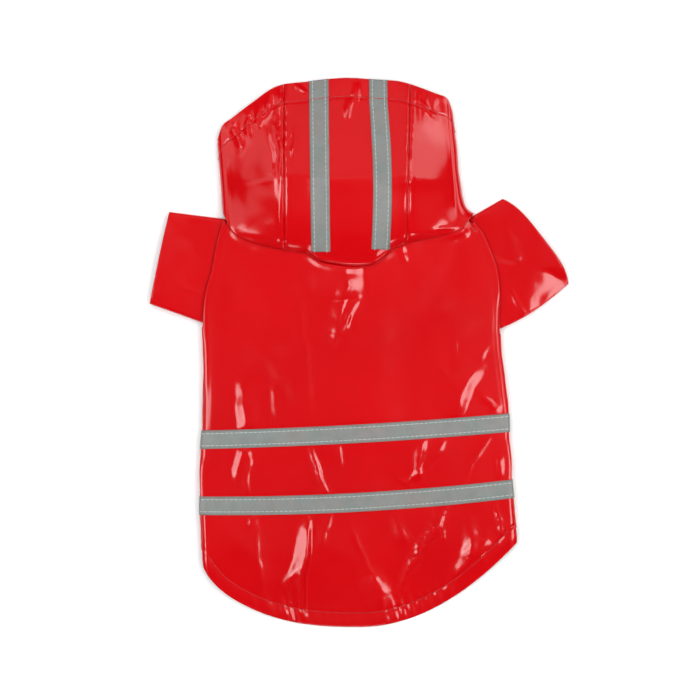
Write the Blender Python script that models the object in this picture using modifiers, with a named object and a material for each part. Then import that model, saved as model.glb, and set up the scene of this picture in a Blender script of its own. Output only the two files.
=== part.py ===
"""Hooded dog raincoat in coated cloth, laid flat on a surface with its back up.

+X is the garment's right as seen from behind, +Y runs from the tail to the hood, +Z is up.
The origin is under the middle of the garment's box, on the surface it lies on.
All tables are in millimetres; the mesh is written in metres.
Every panel is an open surface lofted between sections, with its wall added by Solidify.
"""
import math

import bmesh
import bpy
from mathutils import Vector

MM = 0.001

# Cloth and seams
WALL = 1.1             # coated cloth, doubled at seams and hems
TAPE_WALL = 1.0        # reflective tape with its sewn edges
GAP = 0.3              # clearance between two pieces that meet
FOLD_RADIUS = 4.0      # outer radius of the soft fold down each side of the body
SEAM_ANGLE = -40.0     # where the back panel ends under the side fold, degrees from the horizontal
BODY_CROWN = 2.6       # how much the middle of the back stands above its folds
HEM_LIFT = 2.0         # how far the corners of the tail stand off the surface

# The back panel, one row for each section from the neckline to the lower edge of the lower band.
# y at the left edge, y at the middle, y at the right edge, x of the left edge, x of the right edge
BACK_SECTIONS = (
    (87.4, 62.7, 87.0, -88.8, 76.8),
    (79.9, 54.8, 78.5, -91.4, 83.5),
    (68.0, 45.5, 66.7, -94.1, 88.4),
    (54.8, 36.3, 54.1, -96.7, 92.7),
    (41.6, 27.1, 40.3, -100.0, 93.9),
    (31.0, 17.5, 28.0, -101.8, 94.2),
    (17.4, 7.0, 13.0, -102.6, 94.6),
    (5.3, -3.6, 3.3, -102.2, 95.2),
    (-9.9, -15.2, -8.6, -102.0, 96.7),
    (-25.7, -27.7, -21.8, -102.3, 98.3),
    (-38.9, -38.3, -31.7, -102.6, 99.5),
    (-51.2, -47.2, -39.9, -102.4, 99.4),
    (-63.4, -59.4, -52.1, -103.2, 99.9),
    (-73.9, -70.0, -62.0, -104.3, 101.1),
    (-84.5, -81.2, -72.6, -104.3, 101.8),
    (-94.7, -92.4, -83.5, -103.6, 101.6),
    (-106.9, -104.9, -95.7, -103.7, 102.9),
)
ARMHOLE_END = 6            # section at the underarm, where the side fold begins
UPPER_BAND = (11, 12)      # sections along the edges of the upper reflective band
LOWER_BAND = (15, 16)      # sections along the edges of the lower reflective band

# The tail: sections between the lower band and the hem, as parts of that distance
TAIL_STEPS = (0.22, 0.45, 0.68, 0.88, 1.0)
FOLD_END_STEP = 2          # last tail step that still has the side fold
HEM_MIDDLE = -181.5        # y of the hem at the middle of the tail
HEM_LEFT_RISE = 40.9       # how far the hem's left corner lies above its middle
HEM_RIGHT_RISE = 56.8      # how far the hem's right corner lies above its middle
TAIL_LEFT = -102.0         # x of the hem's left corner
TAIL_RIGHT = 105.3         # x of the hem's right corner
TAIL_START = 6.0           # how far past the belly hem the single tail begins to fall
TAIL_FALL = 24.0           # length over which it comes down to the surface

# Angles round a side fold, from the seam under it to its top
FOLD_ANGLES = (SEAM_ANGLE, -35.0, -8.0, 18.0, 45.0, 68.0, 90.0)
EDGE_ANGLE = 4             # the fold angle at which the armholes and the tail end
BELLY_FOLD_ANGLES = (SEAM_ANGLE - 7.0, -52.0, -70.0)
BACK_COLUMNS = 20

# Largest folds of the back: x and y of each end, height, half width
BACK_FOLDS = (
    (1.0, 56.1, -16.2, 2.0, 2.2, 8.0),
    (85.5, -9.2, 66.3, -40.9, 1.6, 8.0),
    (-82.2, -24.4, -81.5, -83.8, 1.3, 7.0),
    (59.1, -100.3, 28.0, -163.7, 1.6, 8.0),
    (-32.7, -116.2, -39.3, -167.0, 1.8, 9.0),
    (-74.3, 5.3, -44.6, -21.1, -1.4, 12.0),
    (44.6, -59.4, 41.3, -83.8, 1.2, 7.0),
)

# Belly pieces, a row for each section from neck to hem: y at the left side, the middle, the right side
BELLY_SECTIONS = (
    (89.4, 42.2, 89.4),
    (75.9, 34.3, 75.9),
    (60.1, 26.4, 60.1),
    (44.9, 18.5, 44.5),
    (30.0, 9.9, 28.0),
    (16.8, 2.0, 12.4),
    (0.0, -9.9, -3.0),
    (-17.8, -25.7, -19.5),
    (-37.6, -42.9, -37.0),
    (-57.4, -60.2, -54.0),
    (-77.2, -77.5, -71.0),
    (-95.0, -94.0, -88.0),
    (-110.0, -109.0, -102.0),
    (-124.0, -124.0, -115.0),
)
BELLY_ARMHOLE_END = 5
BELLY_COLUMNS = 10
NECK_CLEARANCE = 0.8       # along the curved neck seam, where the two pieces are faceted unlike
LAP = 14.0                 # how far each belly piece passes the middle line
LAP_RAMP = 10.0            # length over which the inner lap climbs over the outer one
CLOSURE_WIDTH = 16.0
CLOSURE_TOP = 25.0
CLOSURE_BOTTOM = -115.0
CLOSURE_WALL = 1.0

# Sleeves: x and y of the top and bottom edge at the root and at the cuff
LEFT_ROOT = (-86.4, 88.6, -99.6, 19.0)
LEFT_CUFF = (-124.4, 93.4, -137.4, 32.4)
RIGHT_ROOT = (73.6, 89.2, 91.2, 14.6)
RIGHT_CUFF = (95.8, 102.0, 139.6, 45.8)
LEFT_CUFF_BULGE = 0.2
RIGHT_CUFF_BULGE = 5.2
RIGHT_UNDERARM_BULGE = 3.4
LEFT_ROOT_BULGE = 0.5
RIGHT_ROOT_BULGE = 4.5
SLEEVE_ROWS = 6
SLEEVE_COLUMNS = 8
SLEEVE_ROOT_RADIUS = 2.5
SLEEVE_CUFF_RADIUS = 3.0
SLEEVE_ROOT_CROWN = 0.3
SLEEVE_CUFF_CROWN = 3.6

# Hood edges as x, y through which each smooth line runs
NECK_TOP = (
    (-89.4, 93.1), (-82.8, 81.2), (-74.3, 75.2), (-63.0, 71.3), (-47.9, 68.0), (-33.3, 65.7),
    (-24.8, 60.7), (-14.9, 58.7), (-4.3, 57.4), (10.2, 58.4), (16.8, 62.7), (22.8, 67.7),
    (34.7, 72.6), (54.5, 77.2), (69.0, 82.5), (77.0, 92.4),
)
BRIM_TOP = (
    (-92.7, 141.2), (-89.4, 150.0), (-82.8, 155.2), (-70.3, 164.8), (-53.8, 175.8),
    (-34.0, 178.9), (-8.3, 181.5), (13.5, 180.2), (29.4, 178.9), (53.1, 170.9),
    (59.7, 167.6), (63.0, 159.1),
)
NECK_UNDER = (
    (-89.4, 93.1), (-75.0, 78.4), (-56.0, 64.0), (-32.0, 50.5), (-5.0, 42.9), (22.0, 49.5),
    (44.0, 62.5), (62.0, 78.0), (77.0, 92.4),
)
BRIM_UNDER_LEFT = (
    (-92.7, 141.2), (-87.0, 132.0), (-74.3, 116.8), (-51.2, 91.7), (-28.1, 70.6), (-11.0, 56.1),
)
BRIM_UNDER_RIGHT = (
    (63.0, 159.1), (58.5, 149.0), (48.0, 134.0), (31.4, 107.6), (14.9, 81.2), (1.0, 56.1),
)
HOOD_ROWS = (0.0, 0.035, 0.085, 0.16, 0.26, 0.37, 0.48, 0.59, 0.70, 0.80, 0.90, 1.0)
HOOD_CROWN = (
    (0.0, 12.4), (0.035, 14.6), (0.085, 16.4), (0.26, 21.0), (0.48, 24.5), (0.70, 22.0),
    (0.88, 14.5), (1.0, 9.4),
)
HOOD_NECK_RADIUS = 5.2
HOOD_BRIM_RADIUS = 3.4
HOOD_SHAPE = 2.3           # how square the hood's arch is across
HOOD_FLARE = 6.5           # how far the hood's right side flares at the neck
HOOD_FLARE_RATE = 22.0     # how soon the flare ends above the neck
HOOD_ARC = (-90.0, -54.0, -18.0, 18.0, 54.0, 90.0)
UNDER_COLUMNS = 8
SIDE_COLUMNS = 5
# Seams and the edges of the strips on the hood: x at the neck, x at the brim
SEAM_LEFT = (-48.2, -48.6)
STRIP_LEFT = ((-30.2, -32.0), (-17.8, -19.1))
STRIP_RIGHT = ((8.6, 7.6), (21.0, 19.6))
SEAM_RIGHT = (32.3, 35.0)
STRIP_END_ROW = 1          # hood row at which the strips are cut off
STRIP_KINK = 2.0           # sideways bow of the right strip
STRIP_BOW_END = 0.87       # part of the hood's length over which it bows

RED = (0.60, 0.008, 0.014, 1.0)
GREY = (0.27, 0.28, 0.275, 1.0)
DARK_RED = (0.30, 0.006, 0.01, 1.0)


def clear_scene():
    """Remove whatever the file holds."""
    for item in list(bpy.data.objects):
        bpy.data.objects.remove(item, do_unlink=True)


def make_material(name, colour, roughness, metallic=0.0):
    """One Principled material."""
    material = bpy.data.materials.new(name)
    material.use_nodes = True
    shader = material.node_tree.nodes["Principled BSDF"]
    shader.inputs["Base Color"].default_value = colour
    shader.inputs["Roughness"].default_value = roughness
    shader.inputs["Metallic"].default_value = metallic
    return material


def lerp(a, b, t):
    return a + (b - a) * t


def smooth(t):
    """Ease from 0 to 1."""
    t = min(1.0, max(0.0, t))
    return t * t * (3.0 - 2.0 * t)


def along(table, x):
    """Read a smooth line given as rising (x, y) pairs."""
    last = len(table) - 1
    if x <= table[0][0]:
        return table[0][1]
    if x >= table[last][0]:
        return table[last][1]
    i = max(k for k in range(last) if table[k][0] <= x)
    x0, y0 = table[i]
    x1, y1 = table[i + 1]

    def slope(k):
        a = table[max(k - 1, 0)]
        b = table[min(k + 1, last)]
        return (b[1] - a[1]) / (b[0] - a[0])

    span = x1 - x0
    t = (x - x0) / span
    h00 = 2 * t ** 3 - 3 * t ** 2 + 1
    h10 = t ** 3 - 2 * t ** 2 + t
    h01 = -2 * t ** 3 + 3 * t ** 2
    h11 = t ** 3 - t ** 2
    return h00 * y0 + h10 * span * slope(i) + h01 * y1 + h11 * span * slope(i + 1)


def falling(table, x):
    """Read a smooth line whose x values fall instead of rise."""
    return along(tuple((-a, b) for a, b in table), -x)


def folds_height(folds, x, y):
    """Sum of the soft ridges and troughs at one place."""
    total = 0.0
    for x0, y0, x1, y1, height, half_width in folds:
        dx = x1 - x0
        dy = y1 - y0
        t = ((x - x0) * dx + (y - y0) * dy) / (dx * dx + dy * dy)
        t = min(1.0, max(0.0, t))
        distance = math.hypot(x - x0 - t * dx, y - y0 - t * dy) / half_width
        fade = math.sin(math.pi * min(0.97, max(0.03, t)))
        total += height * fade ** 0.6 * math.exp(-1.4 * distance * distance)
    return total


# ---------------------------------------------------------------- body

def hem_y(u):
    """The tail's lower edge: a full curve on the left and a longer, flatter one on the right."""
    if u < 0.0:
        rise = HEM_LEFT_RISE * (0.82 * abs(u) ** 2.7 + 0.18 * abs(u) ** 18)
    else:
        rise = HEM_RIGHT_RISE * u * u
    return HEM_MIDDLE + rise


def section_y(section, u):
    """A body section's line through its left end, middle and right end."""
    left, middle, right = section[:3]
    return middle + 0.5 * (right - left) * u + (0.5 * (left + right) - middle) * u * u


def back_rows():
    """Every section of the back: its y at u, its two edges, and how it is finished at the sides."""
    rows = []
    for index, section in enumerate(BACK_SECTIONS):
        rows.append({
            "y": lambda u, s=section: section_y(s, u),
            "left": section[3],
            "right": section[4],
            "folded": index >= ARMHOLE_END,
        })
    last = BACK_SECTIONS[-1]
    for index, step in enumerate(TAIL_STEPS):
        rows.append({
            "y": lambda u, s=step: lerp(section_y(last, u), hem_y(u), s),
            "left": lerp(last[3], TAIL_LEFT, step ** 2),
            "right": lerp(last[4], TAIL_RIGHT, min(1.0, 1.4 * step)),
            "folded": index <= FOLD_END_STEP,
        })
    return rows


def tail_fall(x, y):
    """1 over the belly, falling to 0 where the single tail lies on the surface."""
    left, _, right = BELLY_SECTIONS[-1]
    belly_hem = lerp(left, right, (x - TAIL_LEFT) / (TAIL_RIGHT - TAIL_LEFT))
    return 1.0 - smooth((belly_hem - TAIL_START - y) / TAIL_FALL)


def drop_to_surface(x, y, z, u):
    """Bring a point of the back down to the surface where it is past the belly pieces."""
    low = WALL + HEM_LIFT * abs(u) ** 3
    return low + (z - low) * tail_fall(x, y)


def fold_point(row, side, angle, edge):
    """A point on the soft fold down one side of the body."""
    bend = math.radians(angle)
    inward = FOLD_RADIUS * (1.0 - math.cos(bend))
    x = edge - side * inward
    z = FOLD_RADIUS * (1.0 + math.sin(bend))
    width = row["right"] - row["left"]
    u = side * (1.0 - 2.0 * max(0.0, abs(x - row["left" if side < 0 else "right"])) / width)
    y = row["y"](u if angle > 0.0 else side)
    return Vector((x, y, drop_to_surface(x, y, z, side)))


def back_point(row, column):
    """One point of the back's outer face; columns run from the left seam over to the right seam."""
    count = len(FOLD_ANGLES) - 1
    last = 2 * count + BACK_COLUMNS
    open_edge = FOLD_RADIUS * (1.0 - math.cos(math.radians(FOLD_ANGLES[EDGE_ANGLE])))
    inset = 0.0 if row["folded"] else open_edge
    left = row["left"] - inset
    right = row["right"] + inset
    if column < count:
        return fold_point(row, -1.0, FOLD_ANGLES[column], left)
    if column > last - count:
        return fold_point(row, 1.0, FOLD_ANGLES[last - column], right)
    across = 2.0 * (column - count) / BACK_COLUMNS - 1.0
    x = lerp(left + FOLD_RADIUS, right - FOLD_RADIUS, 0.5 * (across + 1.0))
    u = 2.0 * (x - row["left"]) / (row["right"] - row["left"]) - 1.0
    y = row["y"](u)
    z = 2.0 * FOLD_RADIUS + BODY_CROWN * (1.0 - across * across) ** 0.8
    z += folds_height(BACK_FOLDS, x, y) * smooth((1.0 - abs(across)) * 8.0)
    return Vector((x, y, drop_to_surface(x, y, z, across)))


def back_grid():
    """All points of the back, row by row."""
    columns = 2 * (len(FOLD_ANGLES) - 1) + BACK_COLUMNS + 1
    return [[back_point(row, column) for column in range(columns)] for row in back_rows()]


def back_keeps(j, i):
    """The side folds exist only between the armholes and the corners of the tail."""
    count = len(FOLD_ANGLES) - 1
    last = 2 * count + BACK_COLUMNS
    in_fold = i < EDGE_ANGLE or i >= last - EDGE_ANGLE
    first = ARMHOLE_END
    end = len(BACK_SECTIONS) + FOLD_END_STEP
    return not in_fold or first <= j < end


# ---------------------------------------------------------------- belly

def side_edge(side, y):
    """x of the body's left or right outline at y."""
    name = "left" if side < 0 else "right"
    return along([(-row["y"](side), row[name]) for row in back_rows()], -y)


def belly_y(side, section, q, x):
    """y of a belly section from the side (q = 0) to the middle line (q = 1) and past it."""
    end = 0 if side < 0 else 2
    at_side, at_middle = section[end], section[1]
    neck_side, neck_middle = BELLY_SECTIONS[0][end], BELLY_SECTIONS[0][1]
    depth = (neck_middle - at_middle) / (neck_middle - BELLY_SECTIONS[-1][1])
    curve = 1.0 - (1.0 - q) ** 2
    neck_error = along(NECK_UNDER, x) - NECK_CLEARANCE - lerp(neck_side, neck_middle, curve)
    return lerp(at_side, at_middle, curve) + neck_error * (1.0 - depth) ** 3


def lap_height(side, x):
    """The right piece climbs over the left one and the closing tape between them."""
    if side < 0:
        return 0.0
    stack = WALL + GAP + 2.0 * (CLOSURE_WALL + GAP)
    return stack * smooth((LAP + LAP_RAMP + GAP - x) / LAP_RAMP)


def belly_grid(side):
    """Points of one belly piece, its columns running towards -X so that its face is down."""
    grid = []
    middle = 0.0
    for index, section in enumerate(BELLY_SECTIONS):
        y_side = belly_y(side, section, 0.0, side_edge(side, section[0]))
        edge = side_edge(side, y_side)
        folded = index >= BELLY_ARMHOLE_END
        row = []
        for angle in BELLY_FOLD_ANGLES:
            bend = math.radians(angle)
            x = edge - side * FOLD_RADIUS * (1.0 - math.cos(bend))
            row.append(Vector((x, y_side, FOLD_RADIUS * (1.0 + math.sin(bend)))))
        start = edge - side * FOLD_RADIUS if folded else root_x(side, y_side) - side * 1.3 * GAP
        stop = middle - side * LAP
        for k in range(BELLY_COLUMNS + 1):
            q = k / BELLY_COLUMNS
            x = lerp(start, stop, q)
            toward = (x - start) / (middle - start)
            y = belly_y(side, section, min(1.0, toward), x)
            row.append(Vector((x, y, lap_height(side, x))))
        grid.append(row if side > 0 else row[::-1])
    return grid


def belly_keeps(side):
    """Side folds of a belly piece start below its armhole."""
    def keeps(j, i):
        folds = len(BELLY_FOLD_ANGLES)
        in_fold = i < folds if side > 0 else i >= BELLY_COLUMNS
        return not in_fold or j >= BELLY_ARMHOLE_END
    return keeps


# ---------------------------------------------------------------- sleeves

def root_x(side, y):
    """x of the armhole seam at y."""
    x_top, y_top, x_low, y_low = LEFT_ROOT if side < 0 else RIGHT_ROOT
    bulge = LEFT_ROOT_BULGE if side < 0 else RIGHT_ROOT_BULGE
    q = min(1.0, max(0.0, (y_top - y) / (y_top - y_low)))
    return lerp(x_top, x_low, q) + side * bulge * (1.0 - (2.0 * q - 1.0) ** 2)


def sleeve_grid(side, cuff_bulge, under_bulge):
    """A flattened tube; rows run from root to cuff and columns round it from its top edge."""
    root = LEFT_ROOT if side < 0 else RIGHT_ROOT
    cuff = LEFT_CUFF if side < 0 else RIGHT_CUFF
    root_bulge = LEFT_ROOT_BULGE if side < 0 else RIGHT_ROOT_BULGE
    grid = []
    arc = [math.radians(a) for a in (-90.0, -45.0, 0.0, 45.0, 90.0)]
    for j in range(SLEEVE_ROWS + 1):
        t = j / SLEEVE_ROWS
        top = Vector((lerp(root[0], cuff[0], t), lerp(root[1], cuff[1], t)))
        low = Vector((lerp(root[2], cuff[2], t), lerp(root[3], cuff[3], t)))
        low.y -= under_bulge * math.sin(math.pi * t)
        span = (low - top).length
        across = (low - top) / span
        outward = Vector((cuff[0] + cuff[2] - root[0] - root[2], cuff[1] + cuff[3] - root[1] - root[3]))
        outward.normalize()
        radius = lerp(SLEEVE_ROOT_RADIUS, SLEEVE_CUFF_RADIUS, t)
        crown = lerp(SLEEVE_ROOT_CROWN, SLEEVE_CUFF_CROWN, t ** 1.5)
        ring = []
        for bend in arc:
            ring.append((radius * (1.0 - math.cos(bend)), radius * (1.0 + math.sin(bend))))
        for k in range(1, SLEEVE_COLUMNS):
            q = k / SLEEVE_COLUMNS
            ring.append((lerp(radius, span - radius, q), 2.0 * radius + crown * math.sin(math.pi * q)))
        for bend in reversed(arc):
            ring.append((span - radius * (1.0 - math.cos(bend)), radius * (1.0 + math.sin(bend))))
        for k in range(1, SLEEVE_COLUMNS):
            q = k / SLEEVE_COLUMNS
            ring.append((lerp(span - radius, radius, q), 0.0))
        row = []
        for distance, z in ring:
            place = distance / span
            bow = cuff_bulge * t * t * (1.0 - (2.0 * place - 1.0) ** 4)
            point = top + across * distance + outward * bow
            shift = side * root_bulge * (1.0 - t) * (1.0 - (2.0 * place - 1.0) ** 2)
            row.append(Vector((point.x + shift, point.y, z)))
        row.append(row[0])
        grid.append(row)
    return grid


# ---------------------------------------------------------------- hood

def hood_flare(side, v):
    """How far the outline lies off the straight line from neck to brim: the right side flares."""
    if side < 0:
        return 0.0
    return HOOD_FLARE * (math.exp(-HOOD_FLARE_RATE * v) - (1.0 - v))


def hood_edge(side, v):
    """x of the hood's outline at the side."""
    end = 0 if side < 0 else -1
    return lerp(NECK_TOP[end][0], BRIM_TOP[end][0], v) + hood_flare(side, v)


def hood_crown(v):
    """Height of the hood's middle line."""
    return along(HOOD_CROWN, v)


def hood_radius(v):
    return lerp(HOOD_NECK_RADIUS, HOOD_BRIM_RADIUS, v)


def hood_top_point(x_neck, x_brim, v, shift=0.0):
    """A point of the upper layer on the line from x_neck at the neck to x_brim at the brim."""
    x = lerp(x_neck, x_brim, v) + shift
    y = lerp(along(NECK_TOP, x_neck), along(BRIM_TOP, x_brim), v)
    radius = hood_radius(v)
    left = hood_edge(-1, v) + radius
    right = hood_edge(1, v) - radius
    u = (x - 0.5 * (left + right)) / (0.5 * (right - left))
    u = min(1.0, abs(u))
    z = 2.0 * radius + (hood_crown(v) - 2.0 * radius) * (1.0 - u ** HOOD_SHAPE)
    return Vector((x, y, z))


def hood_side_columns(side):
    """Columns of one side panel from the throat round the fold to its seam, as functions of v."""
    seam = SEAM_LEFT if side < 0 else SEAM_RIGHT
    brim_under = BRIM_UNDER_LEFT if side < 0 else BRIM_UNDER_RIGHT
    read_under = along if side < 0 else falling
    neck_end = NECK_TOP[0] if side < 0 else NECK_TOP[-1]
    brim_end = BRIM_TOP[0] if side < 0 else BRIM_TOP[-1]
    throat_neck = -8.5 if side < 0 else -1.5
    throat_brim = brim_under[-1][0]
    columns = []

    def under(p):
        def point(v):
            x_neck = lerp(throat_neck, neck_end[0] - side * HOOD_NECK_RADIUS, p)
            x_brim = lerp(throat_brim, brim_end[0] - side * HOOD_BRIM_RADIUS, p)
            x = lerp(x_neck, x_brim, v) + hood_flare(side, v) * p ** 3
            y = lerp(along(NECK_UNDER, x_neck), read_under(brim_under, x_brim), v)
            return Vector((x, y, 0.0))
        return point

    def arc(angle):
        bend = math.radians(angle)

        def point(v):
            radius = hood_radius(v)
            x = hood_edge(side, v) - side * radius * (1.0 - math.cos(bend))
            x_neck = neck_end[0] - side * HOOD_NECK_RADIUS * (1.0 - math.cos(bend))
            x_brim = brim_end[0] - side * HOOD_BRIM_RADIUS * (1.0 - math.cos(bend))
            if angle < 0.0:
                neck = along(NECK_UNDER, x_neck)
                brim = read_under(brim_under, x_brim)
            else:
                neck = along(NECK_TOP, x_neck)
                brim = along(BRIM_TOP, x_brim)
            return Vector((x, lerp(neck, brim, v), radius * (1.0 + math.sin(bend))))
        return point

    def top(p):
        def point(v):
            start_neck = neck_end[0] - side * HOOD_NECK_RADIUS
            start_brim = brim_end[0] - side * HOOD_BRIM_RADIUS
            x_neck = lerp(start_neck, seam[0] + side * 0.5 * GAP, p)
            x_brim = lerp(start_brim, seam[1] + side * 0.5 * GAP, p)
            return hood_top_point(x_neck, x_brim, v, hood_flare(side, v) * (1.0 - p) ** 2)
        return point

    for k in range(UNDER_COLUMNS):
        columns.append(under(k / UNDER_COLUMNS))
    for angle in HOOD_ARC:
        columns.append(arc(angle))
    for k in range(1, SIDE_COLUMNS + 1):
        columns.append(top(k / SIDE_COLUMNS))
    return columns if side < 0 else columns[::-1]


def strip_bow(x_neck):
    """The right strip bows a little to the right on its way."""
    inside = smooth((x_neck + 5.0) / 13.0) * smooth((SEAM_RIGHT[0] - x_neck) / 10.0)
    return STRIP_KINK * inside


def hood_centre_lines():
    """x at the neck and at the brim for each column of the centre panel."""
    half = 0.5 * GAP
    edges = [
        (SEAM_LEFT[0] + half, SEAM_LEFT[1] + half),
        STRIP_LEFT[0],
        STRIP_LEFT[1],
        STRIP_RIGHT[0],
        STRIP_RIGHT[1],
        (SEAM_RIGHT[0] - half, SEAM_RIGHT[1] - half),
    ]
    parts = (2, 2, 3, 2, 2)
    lines = [edges[0]]
    for k, count in enumerate(parts):
        for step in range(1, count + 1):
            t = step / count
            lines.append(tuple(lerp(edges[k][n], edges[k + 1][n], t) for n in (0, 1)))
    return lines


def hood_centre_point(line, v):
    """A point of the centre panel, with the bow of the right strip."""
    point = hood_top_point(line[0], line[1], v)
    point.x += strip_bow(line[0]) * math.sin(math.pi * min(1.0, v / STRIP_BOW_END))
    return point


def hood_centre_grid():
    """Rows from brim to neck, columns from the left seam to the right seam."""
    lines = hood_centre_lines()
    return [[hood_centre_point(line, v) for line in lines] for v in reversed(HOOD_ROWS)]


def hood_side_grid(side):
    """Rows from brim to neck, columns from left to right over the top."""
    columns = hood_side_columns(side)
    return [[column(v) for column in columns] for v in reversed(HOOD_ROWS)]


# ---------------------------------------------------------------- objects

def surface(name, grid, keeps=None, flip=False):
    """An open surface from a grid of points in millimetres."""
    mesh = bpy.data.meshes.new(name)
    shape = bmesh.new()
    vertices = [[shape.verts.new(point * MM) for point in row] for row in grid]
    for j in range(len(grid) - 1):
        for i in range(len(grid[0]) - 1):
            if keeps and not keeps(j, i):
                continue
            corners = [vertices[j][i], vertices[j + 1][i], vertices[j + 1][i + 1], vertices[j][i + 1]]
            shape.faces.new(reversed(corners) if flip else corners)
    loose = [vertex for vertex in shape.verts if not vertex.link_faces]
    bmesh.ops.delete(shape, geom=loose, context="VERTS")
    bmesh.ops.remove_doubles(shape, verts=shape.verts, dist=0.00001)
    shape.normal_update()
    shape.to_mesh(mesh)
    shape.free()
    mesh.shade_smooth()
    mesh.set_sharp_from_angle(angle=math.radians(50.0))
    return bpy.data.objects.new(name, mesh)


def add_wall(item, thickness, outward=False):
    """Give an open surface its thickness, inside its face or on it."""
    modifier = item.modifiers.new("wall", "SOLIDIFY")
    modifier.thickness = thickness * MM
    modifier.offset = 1.0 if outward else -1.0
    modifier.use_even_offset = True
    return item


def raised(grid, distance):
    """A patch of a panel's own points, moved out from its face."""
    rows = len(grid)
    columns = len(grid[0])
    result = []
    for j in range(rows):
        row = []
        for i in range(columns):
            along_row = grid[j][min(i + 1, columns - 1)] - grid[j][max(i - 1, 0)]
            along_column = grid[min(j + 1, rows - 1)][i] - grid[max(j - 1, 0)][i]
            normal = along_column.cross(along_row)
            normal.normalize()
            row.append(grid[j][i] + normal * distance)
        result.append(row)
    return result


def patch(grid, rows, columns):
    """The part of a grid between two rows and two columns, both included."""
    return [line[columns[0]:columns[1] + 1] for line in grid[rows[0]:rows[1] + 1]]


def plate(name, x_middle, y_low, y_high, z_low):
    """A flat strip of closing tape."""
    bpy.ops.mesh.primitive_cube_add(size=1.0)
    item = bpy.context.active_object
    item.name = name
    item.data.name = name
    size = Vector((CLOSURE_WIDTH, y_high - y_low, CLOSURE_WALL)) * MM
    centre = Vector((x_middle, 0.5 * (y_low + y_high), z_low + 0.5 * CLOSURE_WALL)) * MM
    for vertex in item.data.vertices:
        vertex.co = Vector((vertex.co.x * size.x, vertex.co.y * size.y, vertex.co.z * size.z))
    item.location = centre
    return item


def build_body():
    grid = back_grid()
    last = len(grid[0]) - 1
    back = add_wall(surface("back_panel", grid, back_keeps), WALL)
    bands = []
    for name, rows in (("band_upper", UPPER_BAND), ("band_lower", LOWER_BAND)):
        cloth = raised(patch(grid, rows, (0, last)), GAP)
        bands.append(add_wall(surface(name, cloth), TAPE_WALL, outward=True))
    return back, bands


def build_belly():
    pieces = []
    for name, side in (("front_left", -1), ("front_right", 1)):
        pieces.append(add_wall(surface(name, belly_grid(side), belly_keeps(side)), WALL))
    return pieces


def build_closure():
    first = plate("closure_hook", 0.0, CLOSURE_BOTTOM, CLOSURE_TOP, WALL + GAP)
    second = plate("closure_loop", 0.0, CLOSURE_BOTTOM, CLOSURE_TOP, WALL + 2.0 * GAP + CLOSURE_WALL)
    return [first, second]


def build_sleeves():
    left = surface("sleeve_left", sleeve_grid(-1, LEFT_CUFF_BULGE, 0.0))
    right_grid = sleeve_grid(1, RIGHT_CUFF_BULGE, RIGHT_UNDERARM_BULGE)
    right = surface("sleeve_right", right_grid, flip=True)
    return [add_wall(left, WALL), add_wall(right, WALL)]


def build_hood():
    centre_grid = hood_centre_grid()
    centre = add_wall(surface("hood_centre", centre_grid), WALL)
    sides = []
    for name, side in (("hood_side_left", -1), ("hood_side_right", 1)):
        sides.append(add_wall(surface(name, hood_side_grid(side)), WALL))
    end = len(HOOD_ROWS) - 1 - STRIP_END_ROW
    strips = []
    for name, columns in (("strip_left", (2, 4)), ("strip_right", (7, 9))):
        cloth = raised(patch(centre_grid, (0, end), columns), GAP)
        strips.append(add_wall(surface(name, cloth), TAPE_WALL, outward=True))
    return [centre] + sides, strips


def main():
    clear_scene()
    collection = bpy.data.collections.new("dog_raincoat")
    bpy.context.scene.collection.children.link(collection)
    back, bands = build_body()
    hood, strips = build_hood()
    cloth = [back] + build_belly() + build_sleeves() + hood
    closure = build_closure()
    for item in closure:
        for home in list(item.users_collection):
            home.objects.unlink(item)
    finishes = (
        (cloth, RED, 0.12),
        (bands + strips, GREY, 0.45),
        (closure, DARK_RED, 0.8),
    )
    for group, colour, roughness in finishes:
        for item in group:
            item.data.materials.append(make_material(item.name, colour, roughness))
            collection.objects.link(item)


main()
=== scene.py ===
"""Looks of a hooded dog raincoat in patent red cloth, laid flat with its back up.

Lengths in the tables are millimetres; meshes are written in metres.
+X is the garment's right seen from behind, +Y runs from the tail to the hood, +Z is up.
"""
import math

import bmesh
import bpy
import numpy as np
from bpy.props import BoolProperty, FloatProperty, FloatVectorProperty, IntProperty, PointerProperty
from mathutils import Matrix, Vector, noise


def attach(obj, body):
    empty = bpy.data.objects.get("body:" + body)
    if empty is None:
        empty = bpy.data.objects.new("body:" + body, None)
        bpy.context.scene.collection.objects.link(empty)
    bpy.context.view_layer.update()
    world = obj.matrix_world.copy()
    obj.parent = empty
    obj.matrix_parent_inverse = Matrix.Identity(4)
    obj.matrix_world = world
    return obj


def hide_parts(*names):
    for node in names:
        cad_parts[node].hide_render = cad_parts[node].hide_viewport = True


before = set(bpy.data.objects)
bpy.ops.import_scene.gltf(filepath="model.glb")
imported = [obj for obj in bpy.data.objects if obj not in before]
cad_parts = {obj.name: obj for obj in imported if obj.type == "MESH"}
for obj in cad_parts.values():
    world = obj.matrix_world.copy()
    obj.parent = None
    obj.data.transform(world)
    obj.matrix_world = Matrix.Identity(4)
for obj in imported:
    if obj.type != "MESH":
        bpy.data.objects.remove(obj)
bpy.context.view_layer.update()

bl_info = {
    "name": "Dog raincoat",
    "version": (1, 0, 0),
    "blender": (4, 5, 0),
    "location": "View3D > Sidebar > Raincoat",
    "description": "Builds a flat-laid dog raincoat with creases, taped stripes and stitching",
    "category": "Object",
}

MM = 0.001

# ---------- the cut, as in the solids

FOLD_RADIUS = 4.0          # outer radius of the soft fold down each side of the body
BODY_CROWN = 2.6           # how much the middle of the back stands above its folds
HEM_LIFT = 2.0             # how far the corners of the tail stand off the surface
HEM_LOW = 1.3              # height of the hem's upper face where it lies on the surface

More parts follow.
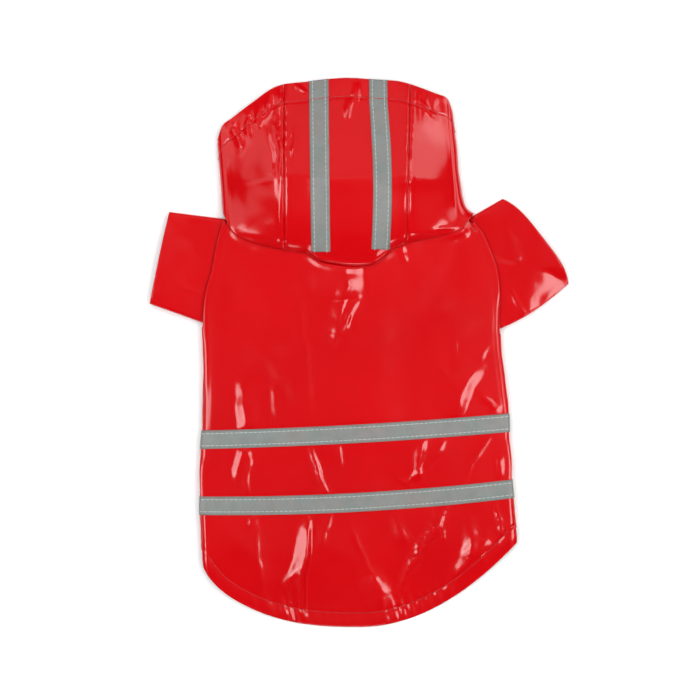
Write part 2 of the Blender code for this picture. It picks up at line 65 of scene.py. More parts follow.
# y at the left edge, y at the middle, y at the right edge, x of the left edge, x of the right edge
BACK_SECTIONS = np.array((
    (87.4, 62.7, 87, -88.8, 76.8),
    (79.9, 54.8, 78.5, -91.4, 83.5),
    (68, 45.5, 66.7, -94.1, 88.4),
    (54.8, 36.3, 54.1, -96.7, 92.7),
    (41.6, 27.1, 40.3, -100, 93.9),
    (31, 17.5, 28, -101.8, 94.2),
    (17.4, 7, 13, -102.6, 94.6),
    (5.3, -3.6, 3.3, -102.2, 95.2),
    (-9.9, -15.2, -8.6, -102, 96.7),
    (-25.7, -27.7, -21.8, -102.3, 98.3),
    (-38.9, -38.3, -31.7, -102.6, 99.5),
    (-51.2, -47.2, -39.9, -102.9, 99.9),
    (-63.4, -59.4, -52.1, -103.6, 100.4),
    (-73.9, -70, -62, -104.3, 101.1),
    (-84.5, -81.2, -72.6, -104.3, 101.8),
    (-94.7, -92.4, -83.5, -104.1, 102.1),
    (-106.9, -104.9, -95.7, -104.2, 103.3),
))
ARMHOLE_END = 6.0          # number of the section at which the armholes end
UPPER_BAND = (11.0, 12.0)  # numbers of the sections between which each band lies
LOWER_BAND = (15.0, 16.0)
FOLD_END = 0.68            # part of the tail that still has the side folds
HEM_MIDDLE = -181.5        # y of the hem at the middle, and how far it rises to each side
HEM_LEFT_RISE = 40.9
HEM_RIGHT_RISE = 56.8
TAIL_LEFT = -102.0         # x of the tail's corners
TAIL_RIGHT = 105.3
TAIL_START = -4.0          # how far past the belly's hem the tail begins to come down
TAIL_FALL = 58.0           # length of that way down
SINK = (-30.0, 88.0)       # y at which the middle begins to sink, and the length of the way down
SINK_TO = -1.7             # height of the middle over the folds at the end of that
TAIL_SECTIONS = 5.5        # length of the tail as a count of sections
NECK_LAP = 3.5             # how far the back goes up under the hood's edge
NECK_CORNER = 88.6         # highest y of the neckline's corners
FOLD_ANGLES = np.array((-40.0, -27.0, -12.0, 4.0, 18.0, 30.0, 43.0, 56.0, 68.0, 79.0, 90.0))
EDGE_ANGLE = 5             # index of the fold angle at which the armholes and the tail end

ROLL_WIDTH = 3.0
# How the upper face rolls off towards the side folds: y, depth, crispness of the shoulder
ROLL_LEFT = (
    (-140, 0.03, 0.2), (-127, 0.08, 0.55), (-108, 0.08, 0.55), (-101, 0.03, 0.15),
    (-74, 0.03, 0.15), (-70, 0.05, 0.3), (-64, 0.05, 0.3), (-58, 0.03, 0.15),
    (-50, 0.08, 0.5), (-30, 0.08, 0.5), (-19, 0.03, 0.25), (4, 0, 0.2),
    (14, 0, 0.12), (90, 0, 0.12),
)
ROLL_RIGHT = (
    (-140, 0.03, 0.2), (-124, 0.06, 0.38), (-98, 0.06, 0.38), (-90, 0.03, 0.15),
    (-62, 0.03, 0.15), (-56, 0.04, 0.3), (-46, 0.03, 0.15), (-34, 0.05, 0.35),
    (-22, 0.05, 0.3), (-8, 0.05, 0.3), (28, 0.05, 0.3), (40, 0, 0.12),
    (90, 0, 0.12),
)

# Belly pieces: y at the left side, at the middle and at the right side, from neck to hem
BELLY_SECTIONS = np.array((
    (89.4, 42.2, 89.4),
    (75.9, 34.3, 75.9),
    (60.1, 26.4, 60.1),
    (44.9, 18.5, 44.5),
    (30, 9.9, 28),
    (16.8, 2, 12.4),
    (0, -9.9, -3),
    (-17.8, -25.7, -19.5),
    (-37.6, -42.9, -37),
    (-57.4, -60.2, -54),
    (-77.2, -77.5, -71),
    (-95, -94, -88),
    (-110, -109, -102),
    (-124, -124, -115),
))
BELLY_ARMHOLE_END = 5.0    # number of the section at which the armholes end
BELLY_FOLD_ANGLES = np.array((-44.0, -50.0, -60.0, -75.0))
LAP = 14.0                 # how far each belly piece goes past the middle
LAP_RAMP = 10.0            # length over which the inner lap climbs
LAP_STACK = 4.0            # height of the inner lap over the closing tape
NECK_CLEARANCE = 0.5       # between the belly's neck edge and the hood

# From here on -1 is the left side and 1 the right one.
# Sleeves: x and y of the top and of the bottom edge, at the root and at the cuff
ROOT = {-1: (-86.4, 88.6, -99.6, 19.0), 1: (73.6, 89.2, 91.2, 14.6)}
CUFF = {-1: (-124.4, 93.4, -137.4, 32.4), 1: (95.8, 102.0, 139.6, 45.8)}
CUFF_BULGE = {-1: 0.2, 1: 5.2}
UNDERARM_BULGE = {-1: 0.0, 1: 3.4}
ROOT_BULGE = {-1: 0.5, 1: 4.5}
SLEEVE_RADIUS = (2.5, 3.0)  # of the folds, at the root and at the cuff
SLEEVE_CROWN = (0.3, 2.2)   # how much the middle stands above them

# Hood: x and y of the neck edge and the brim, in the upper layer and in the lower one
NECK_TOP = (
    (-89.4, 93.1), (-82.8, 81.2), (-74.3, 75.2), (-63, 71.3), (-47.9, 68), (-33.3, 65.7),
    (-24.8, 60.7), (-14.9, 58.7), (-4.3, 57.4), (10.2, 58.4), (16.8, 62.7), (22.8, 67.7),
    (34.7, 72.6), (54.5, 77.2), (69, 82.5), (77, 92.4),
)
BRIM_TOP = (
    (-92.7, 141.2), (-89.4, 150), (-82.8, 155.2), (-70.3, 164.8), (-53.8, 175.8),
    (-34, 178.9), (-8.3, 181.5), (13.5, 180.2), (29.4, 178.9), (53.1, 170.9),
    (59.7, 167.6), (63, 159.1),
)
NECK_UNDER = (
    (-89.4, 93.1), (-75, 78.4), (-56, 64), (-32, 50.5), (-5, 42.9), (22, 49.5),
    (44, 62.5), (62, 78), (77, 92.4),
)
BRIM_UNDER = {-1: (
    (-92.7, 141.2), (-87, 132), (-74.3, 116.8), (-51.2, 91.7), (-28.1, 70.6), (-11, 56.1),
), 1: (
    (1, 56.1), (14.9, 81.2), (31.4, 107.6), (48, 134), (58.5, 149), (63, 159.1),
)}
# part of the way from neck to brim, and height of the hood's middle there
HOOD_CROWN = (
    (0, 12.4), (0.03, 15.2), (0.07, 17.4), (0.20, 21.2), (0.39, 24.3), (0.42, 24.8), (0.45, 24.8),
    (0.48, 24.2), (0.60, 21.2), (0.80, 15.8), (1, 9.4),
)
HOOD_SKEW = 0.0013         # how fast the ridge across the hood nears the neck towards the right
PANEL_RISE = 0.90          # part of the crown's height that is reached at the seams
HOOD_RADIUS = (5.2, 3.4)   # of the side folds at the neck and at the brim
HOOD_FLARE = 6.5           # how far the right edge swings out above the neck
HOOD_FLARE_RATE = 22.0     # and how quickly
THROAT_NECK = {-1: -8.5, 1: -1.5}  # x at which each side panel ends under the neck
LIP = (-35.5, 26.0)        # x of the ends of the lip in the neck edge
# Seams and strips of the hood: x at the neck and at the brim
SEAM = {-1: (-48.2, -48.6), 1: (32.3, 35.0)}
STRIP_LEFT = ((-30.2, -32.0), (-17.8, -19.1))
STRIP_RIGHT = ((8.6, 7.6), (21.0, 19.6))
STRIP_COLUMNS = ((16, 27), (50, 61))  # columns of the hood's centre that the strips cover
SEAM_GAP = 0.02            # half of the gap between two sewn panels
STRIP_ENDS = (66.6, 68.2)  # y at which the left and the right strip are cut off
STRIP_KINK = 2.0           # how far the right strip bows to the right
STRIP_BOW_END = 0.87       # part of the way to the brim at which the bow has ended

TAPE_WIDTH = 0.0123        # metres
TAPE_GAP = 0.06            # between a tape and the cloth under it
THREAD_LIFT = 0.08         # of the stitches' middle over a tape
HEM_THREAD_LIFT = 0.1      # of the stitches' middle over the cloth
OVER_STRIP = 0.46          # how much higher the brim's stitches run where they cross a strip
HEM_PITCH = 0.85           # pitch of the hems' stitches as a part of the tapes'
HEM_STEP = 1.5             # length over which the wall grows to that of the hem
WEAVE_PITCH = 0.0006       # metres between the threads of the uncoated inside

# ---------- creases
# points along the crest (x, y), height, width on the left of the way, width on its right,
# sharpness of the flanks (0 for flat ones), and how finely crinkled the crest is (0 to 1)

BACK_CREASES = (
    (((-8.9, 66), (-7.9, 52), (-6.2, 34)), 2.5, 12, 32, 0, 0),
    (((-5.6, 44.2), (-10.2, 29.7), (-16.2, 12.5)), 0.85, 3, 8, 0, 0.1),
    (((0.3, 37), (-7.6, 20.5), (-18.2, 4)), 0.85, 3.4, 4.4, 0, 0.1),
    (((80.9, -6.6), (72.3, -19.8), (67, -31), (64.4, -44.9)), 1.2, 6.2, 18, 0, 0),
    (((81.5, -26.4), (90.1, -35), (100, -34.3)), 0.9, 2, 2.6, 1.6, 0.1),
    (((63.7, 8.6), (65.7, -2)), 0.35, 0.9, 1.2, 1.4, 0.5),
    (((55.8, -10.6), (59.1, -15.8)), 0.35, 0.9, 1.2, 1.4, 0.5),
    (((28.7, 70.6), (30.7, 64), (31.4, 58.7)), 0.5, 2.6, 4, 0, 0),
    (((75.6, 87.8), (70.3, 80.5), (60.4, 73.9)), 0.95, 4.6, 8, 0, 0),
    (((-38, 37.6), (-37.3, 20.5), (-34, 2), (-30, -44.2)), 0.45, 2.4, 9, 1.6, 0),
    (((-71, 11.9), (-51.2, -9.9), (-30.7, -34.3)), 0.6, 10, 8, 1.9, 0),
    (((-54.5, -20), (-53, -44.5)), 0.5, 7, 4.5, 0, 0),
    (((-76.2, -20.5), (-74.2, -37.6), (-73.6, -57.4)), 1, 10, 5.6, 0, 0),
    (((-75.6, -56.1), (-76.2, -65.3), (-80.2, -85.8)), 0.85, 8, 4.2, 0, 0),
    (((-75.6, -57.4), (-71, -71.3), (-72.9, -85.1), (-70.3, -97)), 0.6, 1.4, 3, 1.5, 0.2),
    (((-69.6, -103.6), (-71, -116.2)), 0.55, 5, 2.6, 0, 0),
    (((-67, -111.5), (-65.7, -127.4), (-63, -159.1)), 0.27, 1.2, 2.4, 1.5, 0.2),
    (((-31.4, -57.4), (-24.8, -80.5), (-18.8, -95)), 0.7, 1.2, 2.8, 1.4, 0.3),
    (((-13.5, -57.4), (-10.9, -77.9)), 0.55, 1.2, 2.4, 1.4, 0.2),
    (((-16.2, -102.3), (-22.1, -120.1), (-24.1, -129.4)), 0.5, 2, 5, 0, 0.2),
    (((-31.6, -111), (-33.4, -133.3), (-36, -147.8), (-36.4, -176)), 2.1, 2.3, 9.5, 0, 0.1),
    (((-41, -142), (-45.5, -151), (-42, -164)), 0.7, 4, 5, 0, 0.1),
    (((-32, -125), (-29.6, -136)), 0.3, 1.2, 1.6, 1.4, 0),
    (((45.2, -53.5), (41.2, -67.3), (40.6, -75.2), (42.6, -85.8)), 0.75, 3.2, 5, 0, 0.1),
    (((59.1, -53.5), (51.2, -69.3), (43.9, -79.9)), 0.55, 2.6, 4, 0, 0.2),
    (((25.4, -81.8), (33.3, -86.5), (38.6, -79.9), (43.9, -77.2)), 0.5, 1, 1.3, 1.4, 0.8),
    (((88.1, -52.8), (76.9, -71.3), (71, -83.8)), 0.4, 1.7, 3, 0, 0.1),
    (((102.6, -60.1), (94.7, -70.6), (96, -78.5), (100, -85.8)), 1.1, 6, 4, 0, 0),
    (((61.1, -99), (51.2, -117.5), (43.2, -128), (36, -143.2), (32, -151.8),
      (26.7, -165.7)), 0.85, 2.8, 7, 0, 1),
    (((55.1, -114.8), (57.1, -124.1)), 0.5, 1, 1.3, 1.4, 1),
    (((47.9, -100.3), (49.2, -111.5)), 0.5, 3, 4, 1.8, 0),
    (((22.8, -104.9), (33.3, -126.7)), 0.7, 3.4, 5, 1.8, 0),
    (((-5, -112.9), (0.3, -126.1), (11.6, -147.8), (18, -160)), 0.32, 1.7, 3, 0, 0.1),
    (((8, -146), (14.5, -160), (19, -173)), 1.5, 9, 12, 0, 0.3),
    (((74.9, -110.2), (75.6, -128.7), (72.3, -140.6), (61.1, -151.8)), 1.15, 5.2, 8, 0, 0.1),
    (((85.5, -122.1), (78.2, -139.9)), 1.5, 7, 11, 0, 0),
    (((90.1, -97), (95.4, -116.2), (98.7, -122.8), (99.3, -129.4)), 0.6, 1.1, 1.7, 1.4, 0.7),
    (((41.2, 35), (28.1, 2), (34.6, -37.6)), -0.6, 16, 14, 2, 0),
    (((74.2, 68), (54.5, 41.6), (34.6, 21.8)), -0.8, 12, 12, 2, 0),
    (((-18.2, -17.8), (-11.6, -37.6), (21.4, -50.8)), 0.45, 12, 12, 2, 0),
    (((21.4, -110.2), (-5, -136.6), (-11.6, -163)), -0.5, 10, 10, 2, 0),
    (((-90.8, -110.2), (-71, -136.6), (-63, -163)), 0.6, 9, 9, 2, 0),
)
BELLY_CREASES = (
    (((-60, 60), (-48, 20), (-52, -15)), 0.5, 3, 4, 1.6, 0),
    (((-80, -60), (-60, -85)), 0.4, 2, 3, 1.5, 0),
    (((55, 40), (62, 5), (56, -30)), 0.5, 3, 4, 1.6, 0),
    (((80, -50), (60, -80), (62, -100)), 0.4, 2, 3, 1.5, 0),
)
LEFT_SLEEVE_CREASES = (
    (((-100, 82), (-112, 70), (-118, 52)), 0.18, 4, 5, 1.9, 0),
    (((-102, 40), (-118, 44)), 0.4, 2, 3, 1.6, 0),
    (((-134, 45), (-131, 36)), 0.4, 1.5, 2, 1.5, 0),
)
RIGHT_SLEEVE_CREASES = (
    (((102, 41.6), (106.6, 32.3), (111.2, 23.1)), 0.6, 2, 3, 0, 0.1),
    (((92.1, 62.7), (99.3, 61.4), (105.9, 62)), -0.5, 1.5, 1.5, 1.6, 0.1),
    (((96, 91.1), (98, 74.6), (100, 60.1), (104.6, 41.6)), -0.35, 8, 9, 2, 0),
)
# The right sleeve's lower corner lies flat: two points of the bend, its height, the slope beyond
PRESSED_CORNER = ((108.9, 23.6), (128.5, 51.4), 5.5, 0.155)
PRESSED_BEND = 0.25        # height over which the bend is rounded
# its upper bound as two points, and how fast the cloth rises past that
PRESSED_TOP = ((126.4, 53.2), (141.6, 47.0), 0.3)
HOOD_CREASES = (
    (((-45.2, 115.5), (-10.2, 115.5), (12.2, 114.5), (36, 111.5), (68.3, 109.6)), 0.3, 8, 8, 0, 0),
    (((-61.7, 155.1), (-57.1, 127.4), (-51.8, 86.5)), 0.5, 3, 7, 1.7, 0),
    (((-53.8, 149.8), (-49.8, 136.6), (-46.5, 127.4)), 0.8, 1.2, 1.7, 1.4, 1),
    (((-49.2, 134), (-50.5, 122.1), (-49.8, 114.2)), 0.5, 1, 1.4, 1.4, 0.8),
    (((-51.8, 103.6), (-51.2, 86.5), (-50.5, 68)), 0.3, 1, 1.6, 1.5, 0.2),
    (((-40.6, 145.9), (-42.6, 124.7)), 0.7, 5, 3, 0, 0),
    (((-57.8, 169.6), (-59.7, 157.7)), 1.2, 1.6, 2.4, 1.6, 0.3),
    (((-65.7, 163), (-65, 149.8)), 1, 1.5, 2, 1.6, 0.3),
    (((-72.9, 156.4), (-71.6, 141.9)), 0.9, 1.5, 2, 1.6, 0.3),
    (((-82.2, 149.8), (-76.9, 134)), 1.1, 1.8, 2.8, 1.7, 0.2),
    (((-40.6, 177.5), (-36, 173.6), (-32.7, 169.6)), 0.9, 1, 1.4, 1.5, 0.6),
    (((-51.2, 172.3), (-48.5, 164.3), (-45.9, 159.1)), 0.8, 1, 1.4, 1.5, 0.6),
    (((0.6, 179), (-0.6, 164.5)), 1, 1.6, 5, 0, 0.2),
    (((-2.6, 168), (-7, 152)), 1, 1.6, 5, 0, 0.2),
    (((39.9, 166.3), (46.5, 161.7), (52.5, 155.1)), 0.6, 1.2, 1.6, 1.5, 0.6),
    (((31.4, 140.6), (32.7, 124.1), (32, 107.6)), 0.7, 1, 2.4, 1.6, 0.1),
    (((51.8, 81.2), (64.4, 82.5), (75.6, 83.8)), 1.2, 1.2, 1.6, 1.7, 0),
    (((-82.8, 134), (-80.2, 107.6), (-73.6, 81.2)), -0.35, 6, 8, 2, 0),
)


# ---------- stage

FLOOR_Z = -0.0004            # metres; the cloth's own thickness reaches a little below zero
VIEW_CENTRE = (-4.95, 1.98)  # what the camera looks straight down at, in millimetres
OUTLINE_HEIGHT = 8.0         # height of the cloth's outline, at which the view has its width
OVERHEAD = ((0.08, 0.40, 1.50), 2.1, 1.97)  # place, size and brightness of the light overhead
ROOM = 0.014               # brightness of the room between the soft boxes
# azimuth, tilt from the vertical, radius of the full and of the fading part, in degrees; brightness
SOFT_BOXES = (
    (194, 23, 4, 9.5, 6.2),
    (-15, 23, 4, 9.5, 6.4),
    (211.5, 27, 3, 6.5, 4.5),
    (172, 35, 6, 14, 1),
    (150, 43, 5, 13, 0.9),
    (20, 38, 4, 13, 1.9),
    (30.5, 49, 8, 14, 2),
    (90, 27, 0, 24, 0.32),
    (-5, 22, 0, 26, 0.10),
    (128, 34, 2.5, 6, 3.4),
    (40, 35, 2, 6, 3),
    (186, 64, 3, 8, 2.5),
    (-6, 64, 3, 8, 2.5),
    (-90, 66, 4, 12, 5),
    (-50, 57, 3, 9, 6),
    (-130, 57, 3, 9, 5),
)


# ---------- settings

def length_setting(name, description, default, low, high):
    """A length in metres."""
    return FloatProperty(name=name, description=description, default=default, min=low, max=high,
                         unit="LENGTH", precision=5)


def colour_setting(name, description, default):
    """A colour in linear light."""
    return FloatVectorProperty(name=name, description=description, default=default, min=0.0, max=1.0,
                               size=3, subtype="COLOR")


class RaincoatCloth(bpy.types.PropertyGroup):
    """Sizes and colours of the coated cloth."""

    wall: length_setting("Cloth thickness", "Thickness of one layer of coated cloth",
                         0.0006, 0.0003, 0.0012)
    hem_wall: length_setting("Hem thickness", "Thickness where the cloth is turned up and sewn",
                             0.0011, 0.0006, 0.002)
    tail_hem: length_setting("Tail hem", "Depth of the hem along the tail", 0.0093, 0.004, 0.02)
    brim_hem: length_setting("Brim hem", "Depth of the hem round the hood's brim", 0.013, 0.004, 0.02)
    crease_strength: FloatProperty(name="Creases", description="Scale of the creases placed by hand",
                                   default=1.0, min=0.0, max=2.0)
    ripple: length_setting("Ripple", "Height of the cloth's slight waviness", 0.0004, 0.0, 0.002)
    red: colour_setting("Red", "Colour of the patent coating", (0.580, 0.0006, 0.0030))
    backing: colour_setting("Backing", "Colour of the cloth's uncoated inside", (0.36, 0.006, 0.012))


class RaincoatTape(bpy.types.PropertyGroup):
    """Sizes and colours of the reflective tape and the sewing."""

    wall: length_setting("Tape thickness", "Thickness of the reflective tape", 0.0004, 0.0002, 0.001)
    grey: colour_setting("Grey", "Colour of the reflective tape", (0.275, 0.290, 0.280))
    pitch: length_setting("Stitch pitch", "Distance from one stitch to the next",
                          0.0031, 0.002, 0.006)
    stitch: length_setting("Stitch length", "Length of thread that shows in each stitch",
                           0.0030, 0.001, 0.005)
    thread: length_setting("Thread radius", "Radius of the sewing thread", 0.00026, 0.0001, 0.0005)
    inset: length_setting("Stitch inset", "Distance of a stitch line from the tape's edge",
                          0.0022, 0.0005, 0.004)
    pale: colour_setting("Pale thread", "Colour of the thread on the tape", (0.55, 0.64, 0.61))
    red_thread: colour_setting("Red thread", "Colour of the thread in the hems", (0.50, 0.012, 0.018))
    seed: IntProperty(name="Seed", description="Seed of the stitches' slight unevenness",
                      default=7, min=0)


class RaincoatStage(bpy.types.PropertyGroup):
    """Floor, lights and camera."""

    floor: colour_setting("Floor", "Colour of the floor", (0.98, 0.98, 0.98))
    view_width: length_setting("View width", "Width that the camera takes in at the cloth's outline",
                               0.462, 0.2, 1.0)
    lens: FloatProperty(name="Lens", description="Focal length in millimetres",
                        default=135.0, min=35.0, max=250.0)
    lights_on: BoolProperty(name="Lights", description="Make the soft lights", default=True)


class RaincoatSettings(bpy.types.PropertyGroup):
    """All the raincoat's settings."""

    cloth: PointerProperty(type=RaincoatCloth)
    tape: PointerProperty(type=RaincoatTape)
    stage: PointerProperty(type=RaincoatStage)


# ---------- lines and surfaces

def lerp(a, b, t):
    return a + (b - a) * t


def ease(t):
    """Ease from 0 to 1, on numbers or arrays."""
    t = np.clip(t, 0.0, 1.0)
    return t * t * (3.0 - 2.0 * t)


def along(table, x, column=1):
    """Read a smooth line, given by rows that start with a rising x, at each x of an array."""
    xs, ys = np.array([(row[0], row[column]) for row in table], float).T
    slopes = np.empty_like(ys)
    slopes[1:-1] = (ys[2:] - ys[:-2]) / (xs[2:] - xs[:-2])
    for end, inner in ((0, 1), (-1, -2)):
        slopes[end] = (ys[end] - ys[inner]) / (xs[end] - xs[inner])
    x = np.clip(np.asarray(x, float), xs[0], xs[-1])
    i = np.clip(np.searchsorted(xs, x, side="right") - 1, 0, len(xs) - 2)
    span = xs[i + 1] - xs[i]
    t = (x - xs[i]) / span
    start = (2 * t ** 3 - 3 * t ** 2 + 1) * ys[i] + (t ** 3 - 2 * t ** 2 + t) * span * slopes[i]
    end = (-2 * t ** 3 + 3 * t ** 2) * ys[i + 1] + (t ** 3 - t ** 2) * span * slopes[i + 1]
    return start + end


def bell(x, centre, width):
    """1 at the centre, falling off to either side over the width."""
    return np.exp(-((x - centre) / width) ** 2)


def read_rows(rows, t):
    """Interpolate the columns of a table of sections at the row numbers t."""
    numbered = np.column_stack((np.arange(len(rows)), rows))
    return [along(numbered, t, column) for column in range(1, numbered.shape[1])]


def crease_height(creases, x, y):
    """Height of the creases at each place, and how crinkled the cloth is there."""
    total = np.zeros_like(x)
    crinkled = np.zeros_like(x)
    wander_x = x + 0.7 * ripple(x, y, 9.0, 11.3)
    wander_y = y + 0.7 * ripple(x, y, 9.0, 14.9)
    lumpy = ripple(x, y, 2.6, 17.7)
    for points, height, left, right, sharpness, crinkle in creases:
        points = np.array(points, float)
        steps = np.hypot(*(points[1:] - points[:-1]).T)
        whole = steps.sum()
        best = np.full(x.shape, 1e9)
        side = np.zeros_like(x)
        place = np.zeros_like(x)
        passed = 0.0
        for start, end, step in zip(points[:-1], points[1:], steps):
            dx, dy = end - start
            t = ((wander_x - start[0]) * dx + (wander_y - start[1]) * dy) / step ** 2
            t = np.clip(t, 0.0, 1.0)
            distance = np.hypot(wander_x - start[0] - t * dx, wander_y - start[1] - t * dy)
            nearer = distance < best
            best = np.where(nearer, distance, best)
            turn = dx * (wander_y - start[1]) - dy * (wander_x - start[0])
            side = np.where(nearer, turn, side)
            place = np.where(nearer, (passed + t * step) / whole, place)
            passed += step
        width = np.where(side > 0.0, left, right)
        taper = np.sin(np.pi * np.clip(place, 0.04, 0.96)) ** 0.6
        if sharpness:
            shape = taper * np.exp(-(best / width) ** sharpness)
        else:
            near = np.clip(1.0 - best / width, 0.0, 1.0)
            shape = taper * lerp(near, ease(near), 0.35)
        total += height * shape * (1.0 + 0.25 * crinkle * lumpy)
        crest = taper * bell(best, 0.0, 0.7 * left + 0.7 * right)
        crinkled = np.maximum(crinkled, crinkle * crest)
    return total, crinkled


def noise_at(*coordinates):
    """Smooth noise at each place; coordinates are arrays or numbers."""
    x, y, z = np.broadcast_arrays(*coordinates)
    values = [noise.noise(Vector(place)) for place in zip(x.ravel(), y.ravel(), z.ravel())]
    return np.array(values).reshape(x.shape)


def ripple(x, y, scale, seed):
    """Smooth noise, about -1 to 1, with features of the given size in millimetres."""
    return 2.0 * noise_at(x / scale, y / scale, seed)


def pucker(run, seed, pitch):
    """Uneven waves along a seam, about -1 to 1; run is the distance along it in millimetres."""
    drift = noise_at(run / 23.0, seed, 0.3)
    loud = 0.55 + 0.9 * noise_at(run / 31.0, seed, 7.7)
    return loud * np.sin(2.0 * np.pi * run / pitch + 9.0 * drift)


def cross_normals(points):
    """Unit normals of a grid of points, from its neighbours."""
    down = np.gradient(points, axis=0)
    right = np.gradient(points, axis=1)
    normals = np.cross(down, right)
    length = np.linalg.norm(normals, axis=2, keepdims=True)
    return normals / np.maximum(length, 1e-9)


def way_along(points, axis):
    """Distance from the first point of each row (axis 1) or column (axis 0)."""
    steps = np.linalg.norm(np.diff(points, axis=axis), axis=2)
    return np.insert(np.cumsum(steps, axis=axis), 0, 0.0, axis=axis)


def grid_mesh(name, points, keep=None, closed=False, crinkle=None):
    """An open sheet from rows of points in millimetres, with its own lengths as UV."""
    rows, columns = points.shape[:2]
    index = np.arange(rows * columns).reshape(rows, columns)
    if closed:
        index[:, -1] = index[:, 0]
    faces = np.stack((index[:-1, :-1], index[1:, :-1], index[1:, 1:], index[:-1, 1:]), axis=-1)
    if keep is not None:
        faces = faces[keep]
    faces = faces.reshape(-1, 4)
    flat = np.stack((way_along(points, 1).ravel(), way_along(points, 0).ravel()), axis=-1) * MM
    mesh = bpy.data.meshes.new(name)
    mesh.from_pydata((points.reshape(-1, 3) * MM).tolist(), [], faces.tolist())
    layer = mesh.uv_layers.new(name="cloth")
    corner = np.empty(len(mesh.loops), np.int64)
    mesh.loops.foreach_get("vertex_index", corner)
    layer.data.foreach_set("uv", flat[corner].ravel())
    if crinkle is not None:
        layer = mesh.attributes.new("crinkle", "FLOAT", "POINT")
        layer.data.foreach_set("value", crinkle.ravel().astype(np.float32))
    shape = bmesh.new()
    shape.from_mesh(mesh)
    loose = [vertex for vertex in shape.verts if not vertex.link_faces]
    bmesh.ops.delete(shape, geom=loose, context="VERTS")
    shape.to_mesh(mesh)
    shape.free()
    mesh.shade_smooth()
    mesh.update()
    return add_object(name, mesh)


def add_object(name, data):
    """An object in the scene from a mesh, a curve, a light or a camera."""
    item = bpy.data.objects.new(name, data)
    bpy.context.scene.collection.objects.link(item)
    return item


def plain_mesh(item):
    """Turn an object with modifiers into a plain mesh object of the same name."""
    bpy.context.view_layer.update()
    evaluated = item.evaluated_get(bpy.context.evaluated_depsgraph_get())
    mesh = bpy.data.meshes.new_from_object(evaluated)
    name = item.name
    bpy.data.objects.remove(item)
    mesh.name = name
    return add_object(name, mesh)


def give_wall(item, thickness, outward, hem=None):
    """Add the cloth's thickness.

    hem is a function that gives each place, in millimetres, its weight from plain (0) to turned
    up (1), and the plain cloth's thickness as a part of the whole.
    """
    modifier = item.modifiers.new("wall", "SOLIDIFY")
    modifier.thickness = thickness
    modifier.offset = 1.0 if outward else -1.0
    modifier.use_even_offset = True
    modifier.use_quality_normals = True
    modifier.material_offset = 0 if outward else 1
    modifier.material_offset_rim = 0
    if hem:
        weight_at, modifier.thickness_vertex_group = hem
        places = np.array([tuple(vertex.co) for vertex in item.data.vertices]) / MM
        group = item.vertex_groups.new(name="hem")
        for number, weight in enumerate(np.clip(weight_at(places), 0.0, 1.0)):
            group.add([number], float(weight), "REPLACE")
        modifier.vertex_group = "hem"


# ---------- the back

def hem_y(u):
    """The tail's lower edge: a full curve on the left and a longer, flatter one on the right."""
    size = np.abs(u)
    left = HEM_LEFT_RISE * (0.82 * size ** 2.7 + 0.18 * size ** 18)
    right = HEM_RIGHT_RISE * size ** 2
    return HEM_MIDDLE + np.where(u < 0.0, left, right)


